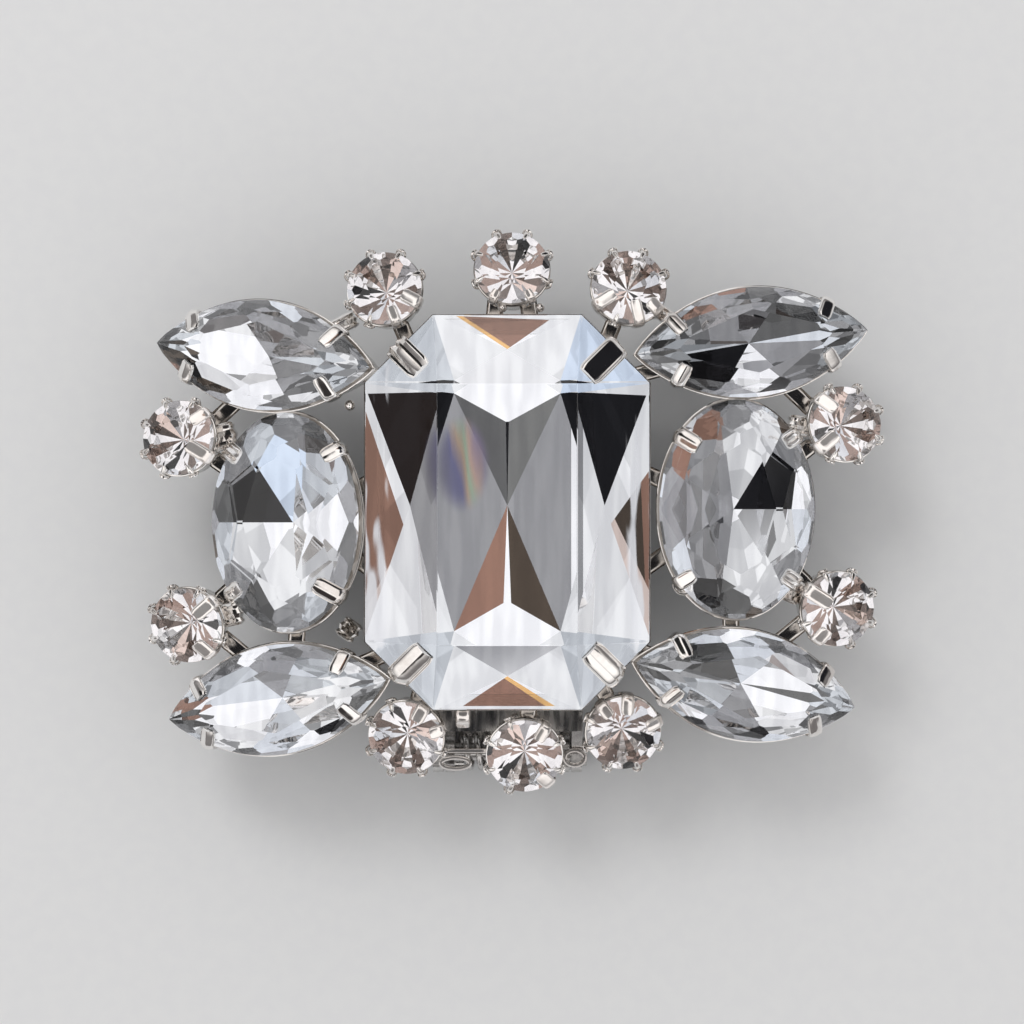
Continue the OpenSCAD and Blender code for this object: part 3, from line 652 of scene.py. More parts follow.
# corners of the back, as shares of the half width, half length and depth
PEAK_Y = 0.035                                  # the deepest point
KEEL_Y, KEEL_DEPTH = 0.464, 0.85                # both ends of the keel
KEEL_FLAT = {1: 0.011, -1: 0.027}               # half width of its flat, above and below
SHOULDER_X, SHOULDER_Y = 0.378, 0.608           # where long and short kites meet
SIDE_X, SIDE_DEPTH = 0.622, 0.55                # the long kites' outer corners
END_Y = 0.784                                   # the short kites' outer corners
BOTH = (-1, 1)


def oblong_corners():
    """The table's corners, the edge band's ring twice, and the back's corners. The
    shoulders lie on the line from the peak's depth to the side's, and the ends on
    the line from the keel through the shoulders' depth, so that kites are flat."""
    p = [(i * (OBLONG_X - TABLE_IN_X), j * (OBLONG_Y - TABLE_IN_Y) - TABLE_DOWN,
          HALF_BAND + CROWN) for i in BOTH for j in BOTH]
    edge = [(i * OBLONG_X, j * (OBLONG_Y - CORNER_CUT)) for i in BOTH for j in BOTH]
    edge += [(i * (OBLONG_X - CORNER_CUT), j * OBLONG_Y) for i in BOTH for j in BOTH]
    p += [(a, b, z) for a, b in edge for z in (-HALF_BAND, HALF_BAND)]
    shoulder = 1 - (1 - SIDE_DEPTH) * SHOULDER_X / SIDE_X
    fall = (KEEL_DEPTH - shoulder) / (SHOULDER_Y - KEEL_Y)
    end = KEEL_DEPTH - fall * (END_Y - KEEL_Y)
    deep = [(0, PEAK_Y, 1), (SIDE_X, PEAK_Y, SIDE_DEPTH), (-SIDE_X, PEAK_Y, SIDE_DEPTH)]
    for j in BOTH:
        deep.append((0, j * END_Y, end))
        for i in BOTH:
            deep.append((i * KEEL_FLAT[j], j * KEEL_Y, KEEL_DEPTH))
            deep.append((i * SHOULDER_X, j * SHOULDER_Y, shoulder))
    return p + [(a * OBLONG_X, b * OBLONG_Y, -HALF_BAND - d * BACK) for a, b, d in deep]


def score(bm, near, a, b):
    """Parts the back facet whose middle is nearest a place, along the line a to b."""
    backs = [f for f in bm.faces if f.normal.z < BACK_BELOW]
    facet = min(backs, key=lambda f: (f.calc_center_median().xy - Vector(near)).length)
    square = (a[1] - b[1], b[0] - a[0], 0)
    bmesh.ops.bisect_plane(bm, geom=[facet, *facet.edges, *facet.verts], dist=1e-4,
                           plane_co=(*a, 0), plane_no=square)


print("the centre stone has", len(oblong_corners()), "corners")

# %% [markdown]
# What a big facet mirrors can change half way across it. Where the photograph shows that, the facet is
# parted along a line, and each side is painted with its own reflected tone.

# %% Lines and painted reflections of the centre stone
# a facet's middle, and the line that parts it
CENTRE_LINES = [
    ((3.1, 0.2), (4.08, -1), (4.08, 1)),
    ((0, 11.6), (0, 9.8), (2.9, 12.2)), ((-0.9, 11.5), (0, 9.8), (-3.1, 12.2)),
    ((0, 11.6), (-1, 12.2), (1, 12.1)), ((0, 11.3), (0.4, 9.8), (-2.7, 12.2)),
    ((0, -11.6), (0, -9.8), (2.9, -12)), ((-0.9, -11.5), (0, -9.8), (-2.7, -12)),
    ((0, -11.6), (-1, -12.1), (1, -12.1)), ((0, -11.3), (-0.4, -9.8), (2.3, -12)),
    ((-6, 5.4), (-6, 7.62), (-4, 7.68)), ((6, 5.4), (4, 7.66), (6, 7.56)),
    ((-7.9, 0.1), (-8, 4.2), (-7, 1.6)), ((-7.9, -2), (-8, -4.8), (-7, -3.2)),
    ((7.9, 0.1), (7, 0.4), (8, 1.6)), ((7.9, -2), (7, -1.6), (8, -3.4)),
    ((7.9, -0.4), (8.2, 3), (8.5, -3)),
]
CENTRE_PAINTED_TONES = [
    # place on the back, and the reflection tone painted there
    ((-1.2, 4.6), "g"), ((1.2, 4.6), "h"), ((0, 4.0), "k"),
    ((-1.2, -4.3), "b"), ((1.2, -4.3), "d"), ((0, -3.7), "w"),
    ((-3.1, 0.2), "m"), ((2.6, 0.2), "m"), ((4.8, 0.2), "w"),
    ((0, 7.3), "w"), ((0, -7.3), "w"),
    ((-5.9, 4.8), "k"), ((5.9, 4.8), "k"), ((-6, 7.6), "w"), ((6, 7.6), "w"),
    ((-6, -5.1), "w"), ((6, -5.1), "w"),
    ((-8.4, 4.3), "w"), ((-7.7, -0.5), "b"), ((-8.5, -5.5), "p"),
    ((8.4, 4.6), "w"), ((7.3, -0.2), "d"), ((8.8, -0.6), "b"), ((8.3, -4), "p"),
    ((-2.7, 10), "w"), ((2.7, 10), "w"), ((-2.7, -10), "w"), ((2.7, -10), "w"),
    ((0, 11.3), "b"), ((-1.3, 11.1), "o"), ((-2.6, 11.7), "w"), ((2.6, 11.7), "w"), ((0, 12.3), "w"),
    ((0, -11.3), "b"), ((1.2, -11.0), "o"), ((-2.6, -11.7), "w"), ((2.6, -11.7), "w"), ((0, -12.3), "w"),
    ((-5.7, 9.4), "l"), ((5.7, 9.4), "c"), ((-5.7, -9.4), "l"), ((5.7, -9.4), "l"),
]

# %% Cut the centre stone
centre = hull_stone(oblong_corners())
for near, a, b in CENTRE_LINES:
    score(centre, near, a, b)
finish_stone("centre_stone", centre, "large_stone", [p for p, _ in CENTRE_PAINTED_TONES],
             "".join(c for _, c in CENTRE_PAINTED_TONES), CLEAR_GLASS, BLOOMED_FOIL)

# %% [markdown]
# ### Ovals, boats and rounds
# All but the centre stone are ground from tiers. A tier without a slope runs to a
# point under the middle, as the back of a stone does. The ovals have seven big
# back facets, an odd number, so that no facet mirrors its opposite. The rounds
# have sixteen, which show as a star. Every kind has rings of narrow facets under
# its edge, which make the busy rim.

# %% Kinds and tiers
# each tier: up or down, count, turn, slope, inset, height; where there is no slope,
# the inset says how deep the point lies, as a share of the back's depth
def oval(turn):
    """An oval stone; its big back facets begin at a turn, in degrees."""
    return Kind(5, 7, 1, 0.5, 1.5, 2.9, [
        (1, 8, 0, 31, 0, 0), (1, 8, 22.5, 17, 2.5, 1.35), (1, 16, 11.25, 40, 0, -0.1),
        (-1, 7, turn, None, 1, 0), (-1, 14, turn + 360 / 28, None, 1.3, -0.38),
        (-1, 28, 0, None, 1.7, -0.46)])


OVAL_LEFT, OVAL_RIGHT = oval(0), oval(180)
BOAT = Kind(7.5, 3.5, 1.75, 0.4, 1.2, 2.3, [
    (1, 8, 22.5, 33, 0, 0), (1, 16, 11.25, 44, 0, -0.1), (-1, 8, 0, None, 1, 0),
    (-1, 16, 11.25, None, 1.25, -0.22), (-1, 24, 7.5, None, 1.6, -0.34)])
ROUND = Kind(2.4, 2.4, 1, 0.2, 0.85, 1.9, [
    (1, 8, 0, 34, 0, 0), (1, 8, 22.5, 19, 1.0, 0.7), (1, 16, 11.25, 42, 0, -0.04),
    (-1, 16, 0, None, 1, 0), (-1, 16, 11.25, None, 1.28, -0.17)])
KINDS = {"oval_stone_left": OVAL_LEFT, "oval_stone_right": OVAL_RIGHT}
for n in SEATS:
    if n.startswith(("boat", "round")):
        KINDS[n] = BOAT if n.startswith("boat") else ROUND

print("facets to grind:", [sum(tier[1] for tier in k.tiers) for k in (OVAL_LEFT, BOAT, ROUND)])

# %% Rows of painted reflection tones
# name: painted reflection tones of the big back facets, then of the two rings under the edge
LETTERS = {
    "oval_stone_left": ("wlckwww", "mlgmlmglmgmlmg", "wmgdmgmwkmgmlgmdlmgmgwmgkmgm"),
    "oval_stone_right": ("mmwwkwm", "mlkgwmlwmwmbbm", "mggmdlmgkmwmglmkmgwmgmdmlgmg"),
    "boat_stone_top_left": ("lmmwwwwm", "wgmlgmwldkdwgwlw", "lmgwmlgmwlmgkdbkmwlgmlwm"),
    "boat_stone_top_right": ("lgmmlkwm", "mlwgmblgmwgmkmlg", "mlgwmgbmlgmlwmgkmlwmgmlw"),
    "boat_stone_bottom_left": ("wlmlwwlw", "lwmgwmlbgwwlwkgm", "wlmgmlwgmlbwkmlwgmlwmlgw"),
    "boat_stone_bottom_right": ("gwlgmlmw", "lwmgwlmwglwmkwml", "mlwgmlwmgwlmgmwlkgmlwmgl"),
}
STAR = "wqwnwmpnwqwkwnlq"           # big back facets of a round stone
EDGE_STAR = "wqnwmwnwkqwlnwqm"      # and its ring under the edge
SHIFT = 5                           # facets by which the next round stone differs


def letters_of(name):
    """The row of painted reflection tones of a stone; each round stone starts it at another facet."""
    if name in LETTERS:
        return LETTERS[name]
    shift = list(SEATS).index(name) * SHIFT
    return tuple(row[shift % len(row):] + row[:shift % len(row)] for row in (STAR, EDGE_STAR))


# %% Cut the other stones
for n, kind in KINDS.items():
    backs = [kind.planes(tier)[1] for tier in kind.tiers if tier[0] < 0]
    is_round = kind is ROUND
    finish_stone(n, cut_stone(kind), "small_stone" if is_round else "large_stone",
                 np.vstack(backs), "".join(letters_of(n)),
                 WARM_GLASS if is_round else CLEAR_GLASS, EVEN_FOIL if "oval" in n else FOIL)

# %% [markdown]
# ## Metal from grids
# The metal of the face is made of grids of points, ring after ring: a pressed
# strip or a round wire carried along a path, or a wall that follows a stone's
# outline. A `Piece` gathers such grids and hands them over as one object.

# %% Grids and pieces
def metal(name, bm, finish, slot, node, body="face", sharp=40, softened=0.0):
    """Hands a metal mesh over: smooth but for edges past an angle in degrees, with
    its edges rounded off by a width in millimetres."""
    bmesh.ops.recalc_face_normals(bm, faces=bm.faces[:])
    mesh = bpy.data.meshes.new(name)
    bm.to_mesh(mesh)
    bm.free()
    mesh.shade_smooth()
    mesh.set_sharp_from_angle(angle=np.radians(sharp))
    mesh.materials.append(finish)
    piece = bpy.data.objects.new(name, mesh)
    if softened:
        bevel = piece.modifiers.new("softened_edges", "BEVEL")
        bevel.width, bevel.segments, bevel.limit_method = softened * MM, 2, "ANGLE"
        bevel.angle_limit = np.radians(35)
    hand_over(piece, slot, node, body)


def grid_faces(m, n, looped):
    """Four-cornered faces of m rings of n points; looped joins the last to the first."""
    j, i = np.meshgrid(np.arange(m if looped else m - 1), np.arange(n), indexing="ij")
    k, h = (i + 1) % n, (j + 1) % m
    return np.stack([j * n + i, j * n + k, h * n + k, h * n + i], -1).reshape(-1, 4)


class Piece:
    """Closed grids of points, in millimetres, gathered into one named object."""

    def __init__(self, name, finish, slot="bright_metal", node="setting_frame"):
        self.name, self.finish, self.slot, self.node = name, finish, slot, node
        self.points, self.faces = np.zeros((0, 3)), []

    def add(self, rings, looped=False, stone=None):
        """Adds a grid; open ends are closed with flat caps. A stone's name carries
        the grid to that stone's seat."""
        m, n = rings.shape[:2]
        first = len(self.points)
        flat = rings.reshape(-1, 3)
        self.points = np.vstack([self.points, seated(flat, stone) if stone else flat])
        self.faces += (grid_faces(m, n, looped) + first).tolist()
        if not looped:
            self.faces += [list(range(first + n - 1, first - 1, -1)),
                           list(range(first + (m - 1) * n, first + m * n))]

    def make(self, sharp=40, softened=0.0):
        """Hands the gathered grids over as one object."""
        grids = bpy.data.meshes.new("grids")
        grids.from_pydata(self.points * MM, [], self.faces)
        bm = bmesh.new()
        bm.from_mesh(grids)
        bpy.data.meshes.remove(grids)
        metal(self.name, bm, self.finish, self.slot, self.node, sharp=sharp, softened=softened)


# %% Paths
def rounded(points, count=20, passes=2):
    """A polyline resampled at even steps, its corners rounded by averaging each
    point with its neighbours."""
    p = np.asarray(points, float)
    s = np.r_[0, np.cumsum(np.linalg.norm(np.diff(p, axis=0), axis=1))]
    u = np.linspace(0, s[-1], count)
    q = np.stack([np.interp(u, s, p[:, k]) for k in range(p.shape[1])], -1)
    for _ in range(passes):
        q[1:-1] = (q[:-2] + 2 * q[1:-1] + q[2:]) / 4
    return q


def unit(v):
    """Directions of length one."""
    return v / np.linalg.norm(v, axis=-1, keepdims=True)


print("a rounded corner:", rounded([(0, 0), (1, 0), (1, 1)], 5).round(2).tolist())

# %% Strips and wires
ACROSS = np.sin(np.linspace(-np.pi / 2, np.pi / 2, 17)) / 2     # shares across a strip


def strip(path, side, width, thick, relief):
    """A pressed strip. At each point of the path its section runs along side for
    the width there: the face is half the thickness above the path, rounded off at
    both edges, plus the relief's height at that share across; the back is flat."""
    d = unit(np.gradient(path, axis=0))
    side = unit(np.asarray(side, float))
    up = unit(np.cross(side, d))
    width = np.broadcast_to(width, len(path))[:, None]
    thick = np.broadcast_to(thick, len(path))[:, None]
    edge = (1 - np.abs(2 * ACROSS) ** 6) ** 0.5
    raised = np.interp(ACROSS, *np.transpose(relief))[None] * (width / width.max())
    face = thick * (edge - 0.5)[None] + raised
    back = -thick / 2 * edge[None, 1:-1]
    x = np.hstack([width * ACROSS, (width * ACROSS)[:, -2:0:-1]])
    z = np.hstack([face, back[:, ::-1]])
    return path[:, None] + x[..., None] * side + z[..., None] * up[:, None]


def tip(width, count, share, blunt):
    """Widths along a strip that ends round: full, then the root of one minus the
    square of the way into the tip."""
    u = np.clip((np.linspace(0, 1, count) - 1 + share) / share, 0, 1)
    return width * np.sqrt(1 - blunt * u ** 2)


def wire(path, radius, across, sides=10, looped=False):
    """A round wire: a circle of the radius, square to the path at each point."""
    d = np.roll(path, -1, 0) - np.roll(path, 1, 0) if looped else np.gradient(path, axis=0)
    d = unit(d)
    u = unit(np.cross(d, across))
    v = np.cross(d, u)
    a = (np.arange(sides) * 2 * np.pi / sides)[None, :, None]
    return path[:, None] + radius * (np.cos(a) * u[:, None] + np.sin(a) * v[:, None])


print("a strip's section has", 2 * len(ACROSS) - 2, "points")

# %% [markdown]
# ## Cups
# Each stone sits in a cup pressed from sheet. Its wall narrows downwards to a
# floor, open in the middle under the big stones, and a fine bright bead runs
# round the top just outside the stone's edge.

# %% Cups
SHEET = 0.45         # thickness of the cups' metal
FLOOR = 0.5          # thickness of the cups' floors
SEAT_DEPTH = 0.3     # how far the wall's top lies below the edge band
FRAME_Z = 5.95       # height of the centre cup's underside
# kind: underside's height, taper, rim of floor left (0 is a closed floor), how far out
CUPS = {OVAL_LEFT: (FRAME_Z, 1.1, 1.3, 0.15), OVAL_RIGHT: (FRAME_Z, 1.1, 1.3, 0.15),
        BOAT: (FRAME_Z + 0.45, 0.7, 1.0, 0.15), ROUND: (FRAME_Z + 0.4, 0.5, 0.0, 0.08)}


def girdle_level(kind):
    """Height of the middle of the edge band over the clip's underside."""
    return CUPS[kind][0] + FLOOR + 0.2 + kind.back + kind.band / 2


def cup_rings(kind, sides=64):
    """Outlines drawn in by an inset at a height, once round the wall's section."""
    floor_z, taper, rim, out = CUPS[kind]
    low, top = floor_z - girdle_level(kind), -kind.band / 2 - SEAT_DEPTH
    t = np.arange(sides) * 2 * np.pi / sides
    section = [(taper - out + 0.1, low), (taper - out, low + 0.08), (-out, top),
               (-out - 0.02, top + 0.1), (-out + 0.06, top + 0.16), (0.1, top + 0.06),
               (SEAT_DEPTH, top - 0.02), (taper + SHEET - out, low + FLOOR)]
    if rim:
        section += [(taper + rim, low + FLOOR), (taper + rim, low)]
    rings = [np.column_stack([kind.outline(t, inset), np.full(sides, z)]) for inset, z in section]
    return np.array(rings)


def oblong(inset, z):
    """The centre stone's outline, drawn in by an inset."""
    x, y = OBLONG_X - inset, OBLONG_Y - inset
    c = max(CORNER_CUT - inset * (2 - 2 ** 0.5), 0.2)
    half = [(x, c - y), (x, y - c), (x - c, y), (c - x, y)]
    return np.array([(a, b, z) for a, b in half] + [(-a, -b, z) for a, b in half])


# %% Press the cups
cups = Piece("cups", CUP_PLATING)
for n, kind in KINDS.items():
    cups.add(cup_rings(kind), looped=CUPS[kind][2] > 0, stone=n)
CENTRE_Z = SEATS["centre_stone"][2]
LOW, TOP, TAPER = FRAME_Z - CENTRE_Z, -0.75, 1.7
cups.add(np.array([oblong(*row) for row in [
    (-0.15, TOP), (TAPER - 0.15, LOW), (TAPER + 2.2, LOW), (TAPER + 2.2, LOW + FLOOR),
    (TAPER + SHEET, LOW + FLOOR), (0.3, TOP)]]), looped=True, stone="centre_stone")
cups.make(sharp=50, softened=0.05)

# %% Beads round the edges
BEAD = 0.055         # radius
STEPS = 96
beads = Piece("edge_beads", BRIGHT)
for n, kind in KINDS.items():
    t = np.arange(STEPS) * 2 * np.pi / STEPS
    out = -CUPS[kind][3] + 0.06
    edge = np.column_stack([kind.outline(t, out), np.full(STEPS, -kind.band / 2 - 0.16)])
    beads.add(wire(edge, BEAD, (0, 0, 1), 8, looped=True), looped=True, stone=n)
beads.make()

# %% [markdown]
# ## Claws
# A claw is a tongue of the cup's sheet, bent up the wall and in over the stone.
# The big corner claws are creased lengthwise, each a little differently, and
# those on the ovals and boats end in a rounded tip.

# %% Side view of a claw, and the reliefs
def claw_path(foot, out, bend, reach, slope, lift):
    """Side view of a claw, out from the stone's edge and up: from its foot up the
    wall, over the edge, then in along the crown's slope."""
    end = (-reach, lift + 0.1 + slope * reach)
    return [foot, (out, bend), (out, lift), (out - 0.16, lift + 0.2), end]


CLAW_STEPS = 26      # points along a claw


def claw(side_view, p, n, width, thick, relief, end):
    """A strip along a side view that is set upright at the outline's point p and
    faces its direction n. The end gives the rounded tip's share and bluntness."""
    q = rounded(side_view, CLAW_STEPS)
    path = np.column_stack([p[0] + n[0] * q[:, 0], p[1] + n[1] * q[:, 0], q[:, 1]])
    return strip(path, (-n[1], n[0], 0), tip(width, CLAW_STEPS, *end), thick, relief)


CREASED = ((-0.5, -0.08), (-0.12, 0.04), (0.0, 0.06), (0.5, -0.12))
RIBBED = ((-0.5, 0), (-0.36, 0.1), (-0.22, -0.06), (0, 0.12), (0.22, -0.06), (0.36, 0.1), (0.5, 0))
PLAIN = ((-0.5, 0), (0, 0.03), (0.5, 0))
print("reliefs:", len(CREASED), len(RIBBED), len(PLAIN), "points")

# %% The centre stone's four claws
BIG_CLAW_WIDTH = 1.7
BIG_CLAW_RISE = 0.575       # height over reach of the slope along which it ends
# side across, end along, reach, and how the face stands up across its width
BIG_CLAWS = [
    (-1, 1, 2.0, ((-0.5, 0.1), (-0.34, -0.08), (-0.14, 0.14), (0.02, -0.1), (0.2, 0.13),
                  (0.36, -0.08), (0.5, 0.06))),
    (1, 1, 2.5, ((-0.5, -0.06), (-0.3, 0), (-0.02, 0), (0.02, 0.03), (0.5, 0.03))),
    (-1, -1, 2.3, ((-0.5, -0.06), (0.0, 0.1), (0.04, 0.1), (0.5, -0.34))),
    (1, -1, 2.3, ((-0.5, -0.02), (-0.1, 0.06), (-0.04, -0.02), (0.16, 0.0), (0.5, -0.3))),
]
big_claws = Piece("big_claws", BRIGHT)
for i, j, reach, relief in BIG_CLAWS:
    n = unit(np.array([i, j]))
    p = np.array([i * (OBLONG_X - CORNER_CUT / 2), j * (OBLONG_Y - CORNER_CUT / 2)])
    view = claw_path((-0.66, -2.4), 0.3, -0.6, reach, BIG_CLAW_RISE, 0.62)
    shape = claw(view, p, n, BIG_CLAW_WIDTH, 0.32, relief, (0.1, 0.35))
    big_claws.add(shape, stone="centre_stone")
big_claws.make(sharp=28)

# %% Claws of the ovals and boats
# stone: the claw's angle, width, reach and relief
OVAL_CLAWS = {
    "oval_stone_left": [(42, 1.0, 1.0, CREASED), (138, 1.15, 1.1, RIBBED),
                        (222, 1.0, 1.1, CREASED), (318, 1.2, 1.5, CREASED)],
    "oval_stone_right": [(42, 1.1, 0.9, RIBBED), (138, 1.2, 1.3, CREASED),
                         (222, 1.0, 1.0, PLAIN), (318, 1.1, 1.0, RIBBED)],
}
BOAT_CLAWS = [(47, 0.95, 1.1, PLAIN), (133, 0.95, 1.1, CREASED),
              (227, 0.95, 1.1, CREASED), (313, 0.95, 1.1, PLAIN)]
OVAL_RISE, BOAT_RISE, ROUND_RISE = 0.62, 0.76, 0.5
claws = Piece("claws", BRIGHT)
for n, kind in KINDS.items():
    if kind is ROUND:
        continue
    rise = BOAT_RISE if kind is BOAT else OVAL_RISE
    for a, w, reach, relief in OVAL_CLAWS.get(n, BOAT_CLAWS):
        view = claw_path((-0.3, -1.6), 0.24, -0.4, reach, rise, kind.band / 2 + 0.12)
        claws.add(claw(view, *kind.edge(a), w, 0.2, relief, (0.12, 0.5)), stone=n)
claws.make(sharp=35)

# %% [markdown]
# The small stones are held by up to eight fine wire loops, bent in over the edge.
# Where a stone is joined to its neighbour, a broad flat tab takes a loop's place.

# %% Loops and tabs of the small stones
# stone: compass angles of its tabs, and each tab's width and reach
TABS = {
    "round_stone_top_left": [(-25, 0.9, 1.0), (-70, 0.7, 0.9)],
    "round_stone_top": [(-120, 0.6, 0.5), (-60, 0.6, 0.5)],
    "round_stone_top_right": [(-150, 0.85, 1.2), (-75, 0.75, 1.3), (-40, 0.9, 0.8)],
    "round_stone_right_upper": [(138, 0.9, 1.2), (222, 0.95, 1.2)],
    "round_stone_right_lower": [(148, 1.0, 1.5), (235, 0.95, 0.9)],
    "round_stone_bottom_right": [(85, 0.85, 1.0), (128, 0.8, 0.8), (20, 0.8, 0.9)],
    "round_stone_bottom": [(-48, 0.9, 0.9), (55, 0.8, 0.9)],
    "round_stone_bottom_left": [(60, 0.9, 0.9), (15, 0.8, 0.7)],
    "round_stone_left_lower": [(42, 0.95, 1.2), (-48, 0.95, 1.1)],
    "round_stone_left_upper": [(-32, 0.95, 1.3), (40, 0.8, 1.0)],
}
LOOP = [(0.26, 0.02, -0.55), (0.3, 0.2, -0.25), (0.22, 0.34, -0.02), (0.0, 0.3, 0.16),
        (-0.22, 0.34, -0.02), (-0.3, 0.2, -0.25), (-0.26, 0.02, -0.55)]  # along, out, up
PRONG = [(-0.12, -1.2), (0.14, -0.3), (0.14, 0.12), (0.02, 0.24), (-0.38, 0.44)]  # out, up
LOOP_WIRE = 0.085
CLEAR_OF_TABS = 20      # no loop stands within this many degrees of a tab

loops = Piece("wire_loops", BRIGHT)
tabs = Piece("flat_tabs", PALE)
for n, placed in TABS.items():
    taken = [a for a, _, _ in placed]
    for a in 22.5 + 45 * np.arange(8):
        if min(abs((a - b + 180) % 360 - 180) for b in taken) < CLEAR_OF_TABS:
            continue
        p, out = ROUND.edge(a)
        along = np.array([-out[1], out[0]])
        q = rounded(LOOP)
        path = np.column_stack([p + q[:, :1] * along + q[:, 1:2] * out, q[:, 2]])
        loops.add(wire(path, LOOP_WIRE, (0.01, 0.02, 1), 8), stone=n)
        loops.add(claw(PRONG, p, out, 0.34, 0.14, PLAIN, (0.3, 0.9)), stone=n)
    for a, w, reach in placed:
        view = claw_path((-0.1, -1.25), 0.16, -0.3, reach, ROUND_RISE, ROUND.band / 2 + 0.1)
        tabs.add(claw(view, *ROUND.edge(a), w, 0.18, PLAIN, (0.1, 0.45)), stone=n)
loops.make()
tabs.make(sharp=35)

# %% [markdown]
# ## Joining wires
# On the back, flattened wires run from cup to cup and are soldered to the floors.
# They show in the gaps between the stones, with ribbed joiners beside the ovals.

# %% Joining wires
def under(name, depth):
    """The point a depth below a stone's edge band, along its own axis."""
    return seated(np.array([[0, 0, -depth]]), name)[0]


def cup_floor(name):
    """The middle of a cup's floor."""
    kind = KINDS[name]
    return under(name, girdle_level(kind) - CUPS[kind][0] - FLOOR / 2)


FOOT_X, FOOT_Y = 6.0, 9.5       # how far out the wires start under the centre cup


def foot(x, y):
    """A place on the centre cup's floor, as shares of how far out wires start."""
    middle = under("centre_stone", CENTRE_Z - FRAME_Z - FLOOR / 2)
    return middle + np.array([x * FOOT_X, y * FOOT_Y, 0])


top, bottom = cup_floor("round_stone_top"), cup_floor("round_stone_bottom")
joins = [(foot(0.3, 1), top + [0.9, 0, 0]), (foot(-0.2, 1), top - [0.9, 0, 0]),
         (foot(0.3, -1), bottom), (foot(-1, 0), foot(1, 0))]
for where, x, y in (("top_left", -0.9, 0.9), ("top_right", 0.9, 0.9),
                    ("bottom_left", -0.8, -0.9), ("bottom_right", 0.8, -0.9)):
    joins.append((foot(x, y), cup_floor("round_stone_" + where)))
for side, s in (("left", -1), ("right", 1)):
    oval = "oval_stone_" + side
    for end, half, e in (("top", "upper", 1), ("bottom", "lower", -1)):
        boat, small = f"boat_stone_{end}_{side}", f"round_stone_{side}_{half}"
        joins += [(cup_floor(oval), cup_floor(small)), (cup_floor(boat), cup_floor(small)),
                  (cup_floor(oval), cup_floor(boat)), (foot(s * 0.9, e * 0.85), cup_floor(boat)),
                  (foot(s, 0.4 if e > 0 else -0.6), cup_floor(oval))]
wires = Piece("joining_wires", CUP_PLATING)
for k, (a, b) in enumerate(joins):
    d = unit(b - a)
    path = a + np.linspace(0, 1, 8)[:, None] * (b - a)
    wires.add(strip(path, np.cross((0, 0, 1), d), 1.1, 0.4 + 0.012 * (k % 7), PLAIN))
wires.make(sharp=45)

# %% [markdown]
# ## Small parts in the gaps
# Folded ribbed joiners lie between the ovals and their small stones. There are
# three balls of solder and a small disc. Under the bottom edge show a square tab,
# a bar and the two round eyes of the hinge.

# %% Joiners, balls and disc
def ball(x, y, z, r, rows=10, sides=16):
    """A sphere: rings whose radius is the sine, and height the cosine, of the way down."""
    v = np.linspace(0.02, np.pi - 0.02, rows)[:, None]
    a = np.arange(sides)[None] * 2 * np.pi / sides
    way = [np.sin(v) * np.cos(a), np.sin(v) * np.sin(a), np.cos(v) + 0 * a]
    return np.stack(way, -1) * r + (x, y, z)


def ring(x, y, z, half_x, half_y, steps):
    """A level oval of points round (x, y, z)."""
    a = np.arange(steps) * 2 * np.pi / steps
    return np.stack([x + half_x * np.cos(a), y + half_y * np.sin(a), z + 0 * a], -1)


joiners = Piece("joiners", BRIGHT)
# from (x, y, z), to (x, y, z), width
JOINERS = [
    ((-17.6, 4.9, 9.0), (-19.4, 4.4, 8.3), 1.7), ((-17.2, -6.6, 8.9), (-18.6, -6.9, 8.2), 1.5),
    ((18.2, 5.5, 8.9), (19.6, 5.3, 8.3), 1.3), ((17.6, -4.9, 9.1), (18.8, -5.4, 8.5), 1.6),
    ((-11.2, 11.6, 9.0), (-9.9, 12.3, 8.4), 1.1), ((10.4, 12.3, 9.0), (9.6, 12.9, 8.5), 1.0),
    ((-10.6, -7.4, 8.6), (-9.8, -8.0, 8.2), 1.4), ((10.4, -9.7, 8.8), (9.7, -10.6, 8.3), 1.2),
]
for a, b, w in JOINERS:
    a, b = np.array(a), np.array(b)
    path = rounded([a - (0, 0, 0.9), a, b, b - (0, 0, 0.9)], 16, 2)
    joiners.add(strip(path, np.cross(b - a, (0, 0, 1)), w, 0.3, RIBBED))
# x, y, z, radius
for place in ((-10.1, 6.7, 9.2, 0.36), (-0.3, 12.95, 9.3, 0.3), (2.1, 12.95, 9.3, 0.3)):
    joiners.add(ball(*place))
DISC_AT, DISC_R, DISC_SUNK, DISC_FLATNESS = (11.25, -4.75, 9.75), 0.62, 0.28, 0.25
rim = ring(*DISC_AT, DISC_R, DISC_R, 32)
joiners.add(wire(rim, 0.1, (0, 0, 1), 10, looped=True), looped=True)
disc = ball(0, 0, 0, DISC_R * 0.96, 8, 24) * (1, 1, DISC_FLATNESS)
joiners.add(disc + DISC_AT - (0, 0, DISC_SUNK))
joiners.make(sharp=30)

# %% Tab, bar and eyes
pale = Piece("pale_bits", PALE)
TAB = [(-2.85, -12.4, 9.0), (-2.85, -12.9, 9.3), (-2.85, -13.5, 9.2), (-2.85, -13.9, 8.2)]
BAR = [(-4.5, -15.75, 5.1), (-3, -15.75, 5.15), (-1.2, -15.75, 5.1)]
pale.add(strip(rounded(TAB, 14, 1), (-1, 0, 0), 0.95, 0.25, PLAIN))
pale.add(strip(rounded(BAR, 12, 1), (0, 1, 0), 0.34, 0.3, PLAIN))
# eyes of the hinge: middle, then half width and half height of the oval
for eye in ((-3.4, -16.55, 5.0, 0.95, 0.36), (4.4, -16.2, 5.0, 0.65, 0.5)):
    pale.add(wire(ring(*eye, 40), 0.15, (0, 0, 1), 10, looped=True), looped=True)
pale.make(sharp=30)

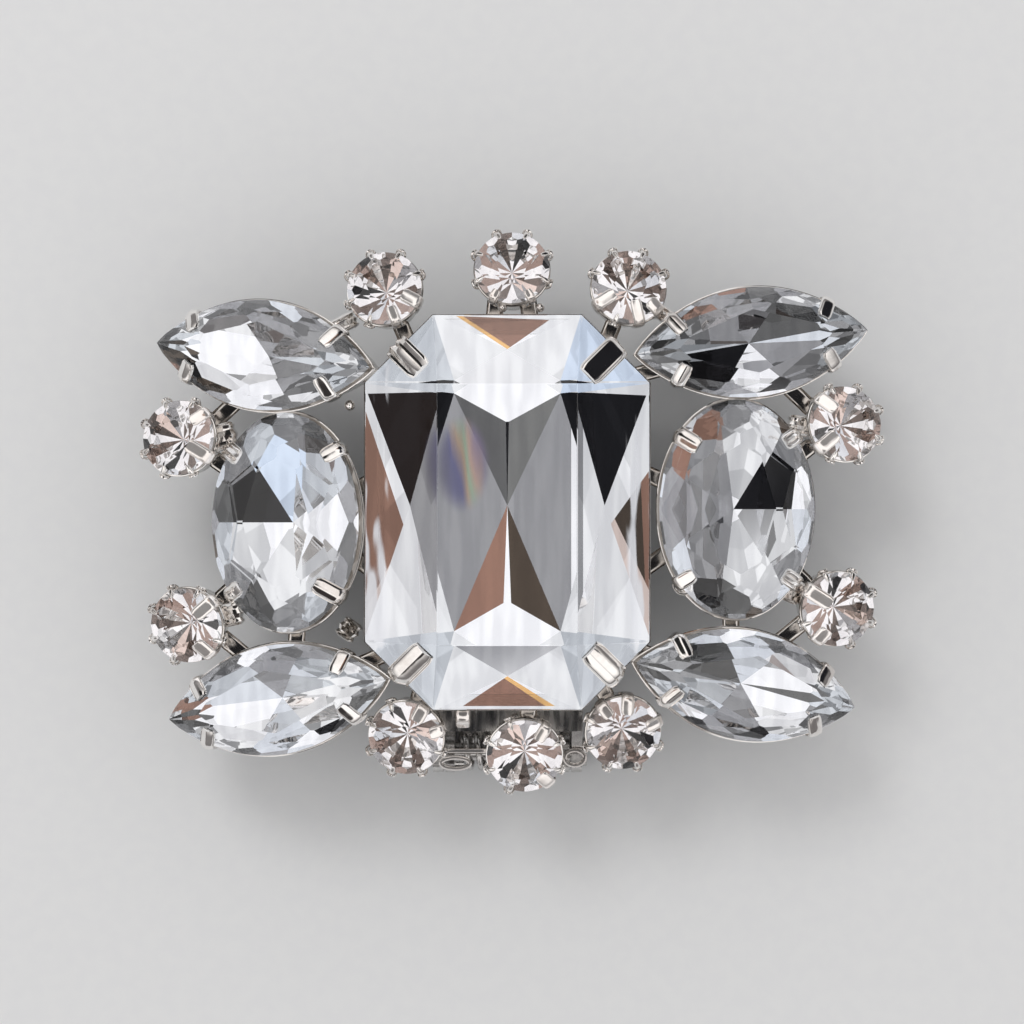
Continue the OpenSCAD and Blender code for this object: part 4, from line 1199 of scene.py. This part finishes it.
# %% [markdown]
# ## The clip behind
# The spring is drawn again as a smooth wire: a helix round the pin with two legs.
# The plate, lever and pin keep the shapes of their solids. Pressed sheet has no
# knife edges, though, so each is copied, its loose triangles are joined into flat
# faces, and a fine bevel takes the sharpness off.

# %% The spring
pin = np.array(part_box("hinge_pin")) / MM
PIN_Y, PIN_Z = pin.mean(axis=0)[1:]
COIL_R, WIRE_R = 1.05, 0.2
HALF, TURNS, LEG = 3.03, 8, 4.5     # half the coil's length, its turns, reach of the legs
turn = np.linspace(0, TURNS, TURNS * 28 + 1)
a = np.radians(-90) + turn * 2 * np.pi
coil = np.column_stack([-HALF + 2 * HALF * turn / TURNS, COIL_R * np.cos(a), COIL_R * np.sin(a)])
up = np.linspace(0, 0.5, 15)[1:]
a = np.radians(-90) + up * 2 * np.pi
last = np.column_stack([np.full(14, HALF), COIL_R * np.cos(a), COIL_R * np.sin(a)])
route = np.vstack([[(-HALF, LEG, -1.92), (-HALF, 2.6, -1.6), (-HALF, 0.8, -1.08)], coil, last,
                   [(HALF, 0.8, 1.1), (HALF, 2.6, 1.55), (HALF, LEG, 1.82)]])
spring = Piece("spring_wire", STEEL, "spring_wire", "coil_spring")
spring.add(wire(route + (0, PIN_Y, PIN_Z), WIRE_R, (1, 0.003, 0.02), 12))
spring.make()

# %% Plate, lever and pin
def softened_copy(node, body):
    """A node's solid with its triangles joined and its edges rounded off."""
    bm = bmesh.new()
    bm.from_mesh(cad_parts[node].data)
    bmesh.ops.remove_doubles(bm, verts=bm.verts[:], dist=1e-7)
    bmesh.ops.dissolve_limit(bm, angle_limit=np.radians(1), verts=bm.verts[:], edges=bm.edges[:])
    metal("pressed_" + node, bm, STEEL, "clip_metal", node, body, sharp=30, softened=0.07)


for n, body in (("clip_plate", "face"), ("clip_lever", "lever"), ("hinge_pin", "face")):
    softened_copy(n, body)

# %% [markdown]
# ## Look settings
# Cut glass needs many bounces, and no more than that: each costs time. Caustics
# are off, because they would only add bright specks to the floor.

# %% Look settings
scene = bpy.context.scene
scene.view_settings.view_transform = "Standard"
scene.view_settings.look = "None"
scene.cycles.max_bounces, scene.cycles.glossy_bounces = 10, 6
scene.cycles.transmission_bounces, scene.cycles.diffuse_bounces = 8, 2
scene.cycles.caustics_reflective = False
scene.cycles.caustics_refractive = False
print("bounces:", scene.cycles.max_bounces)
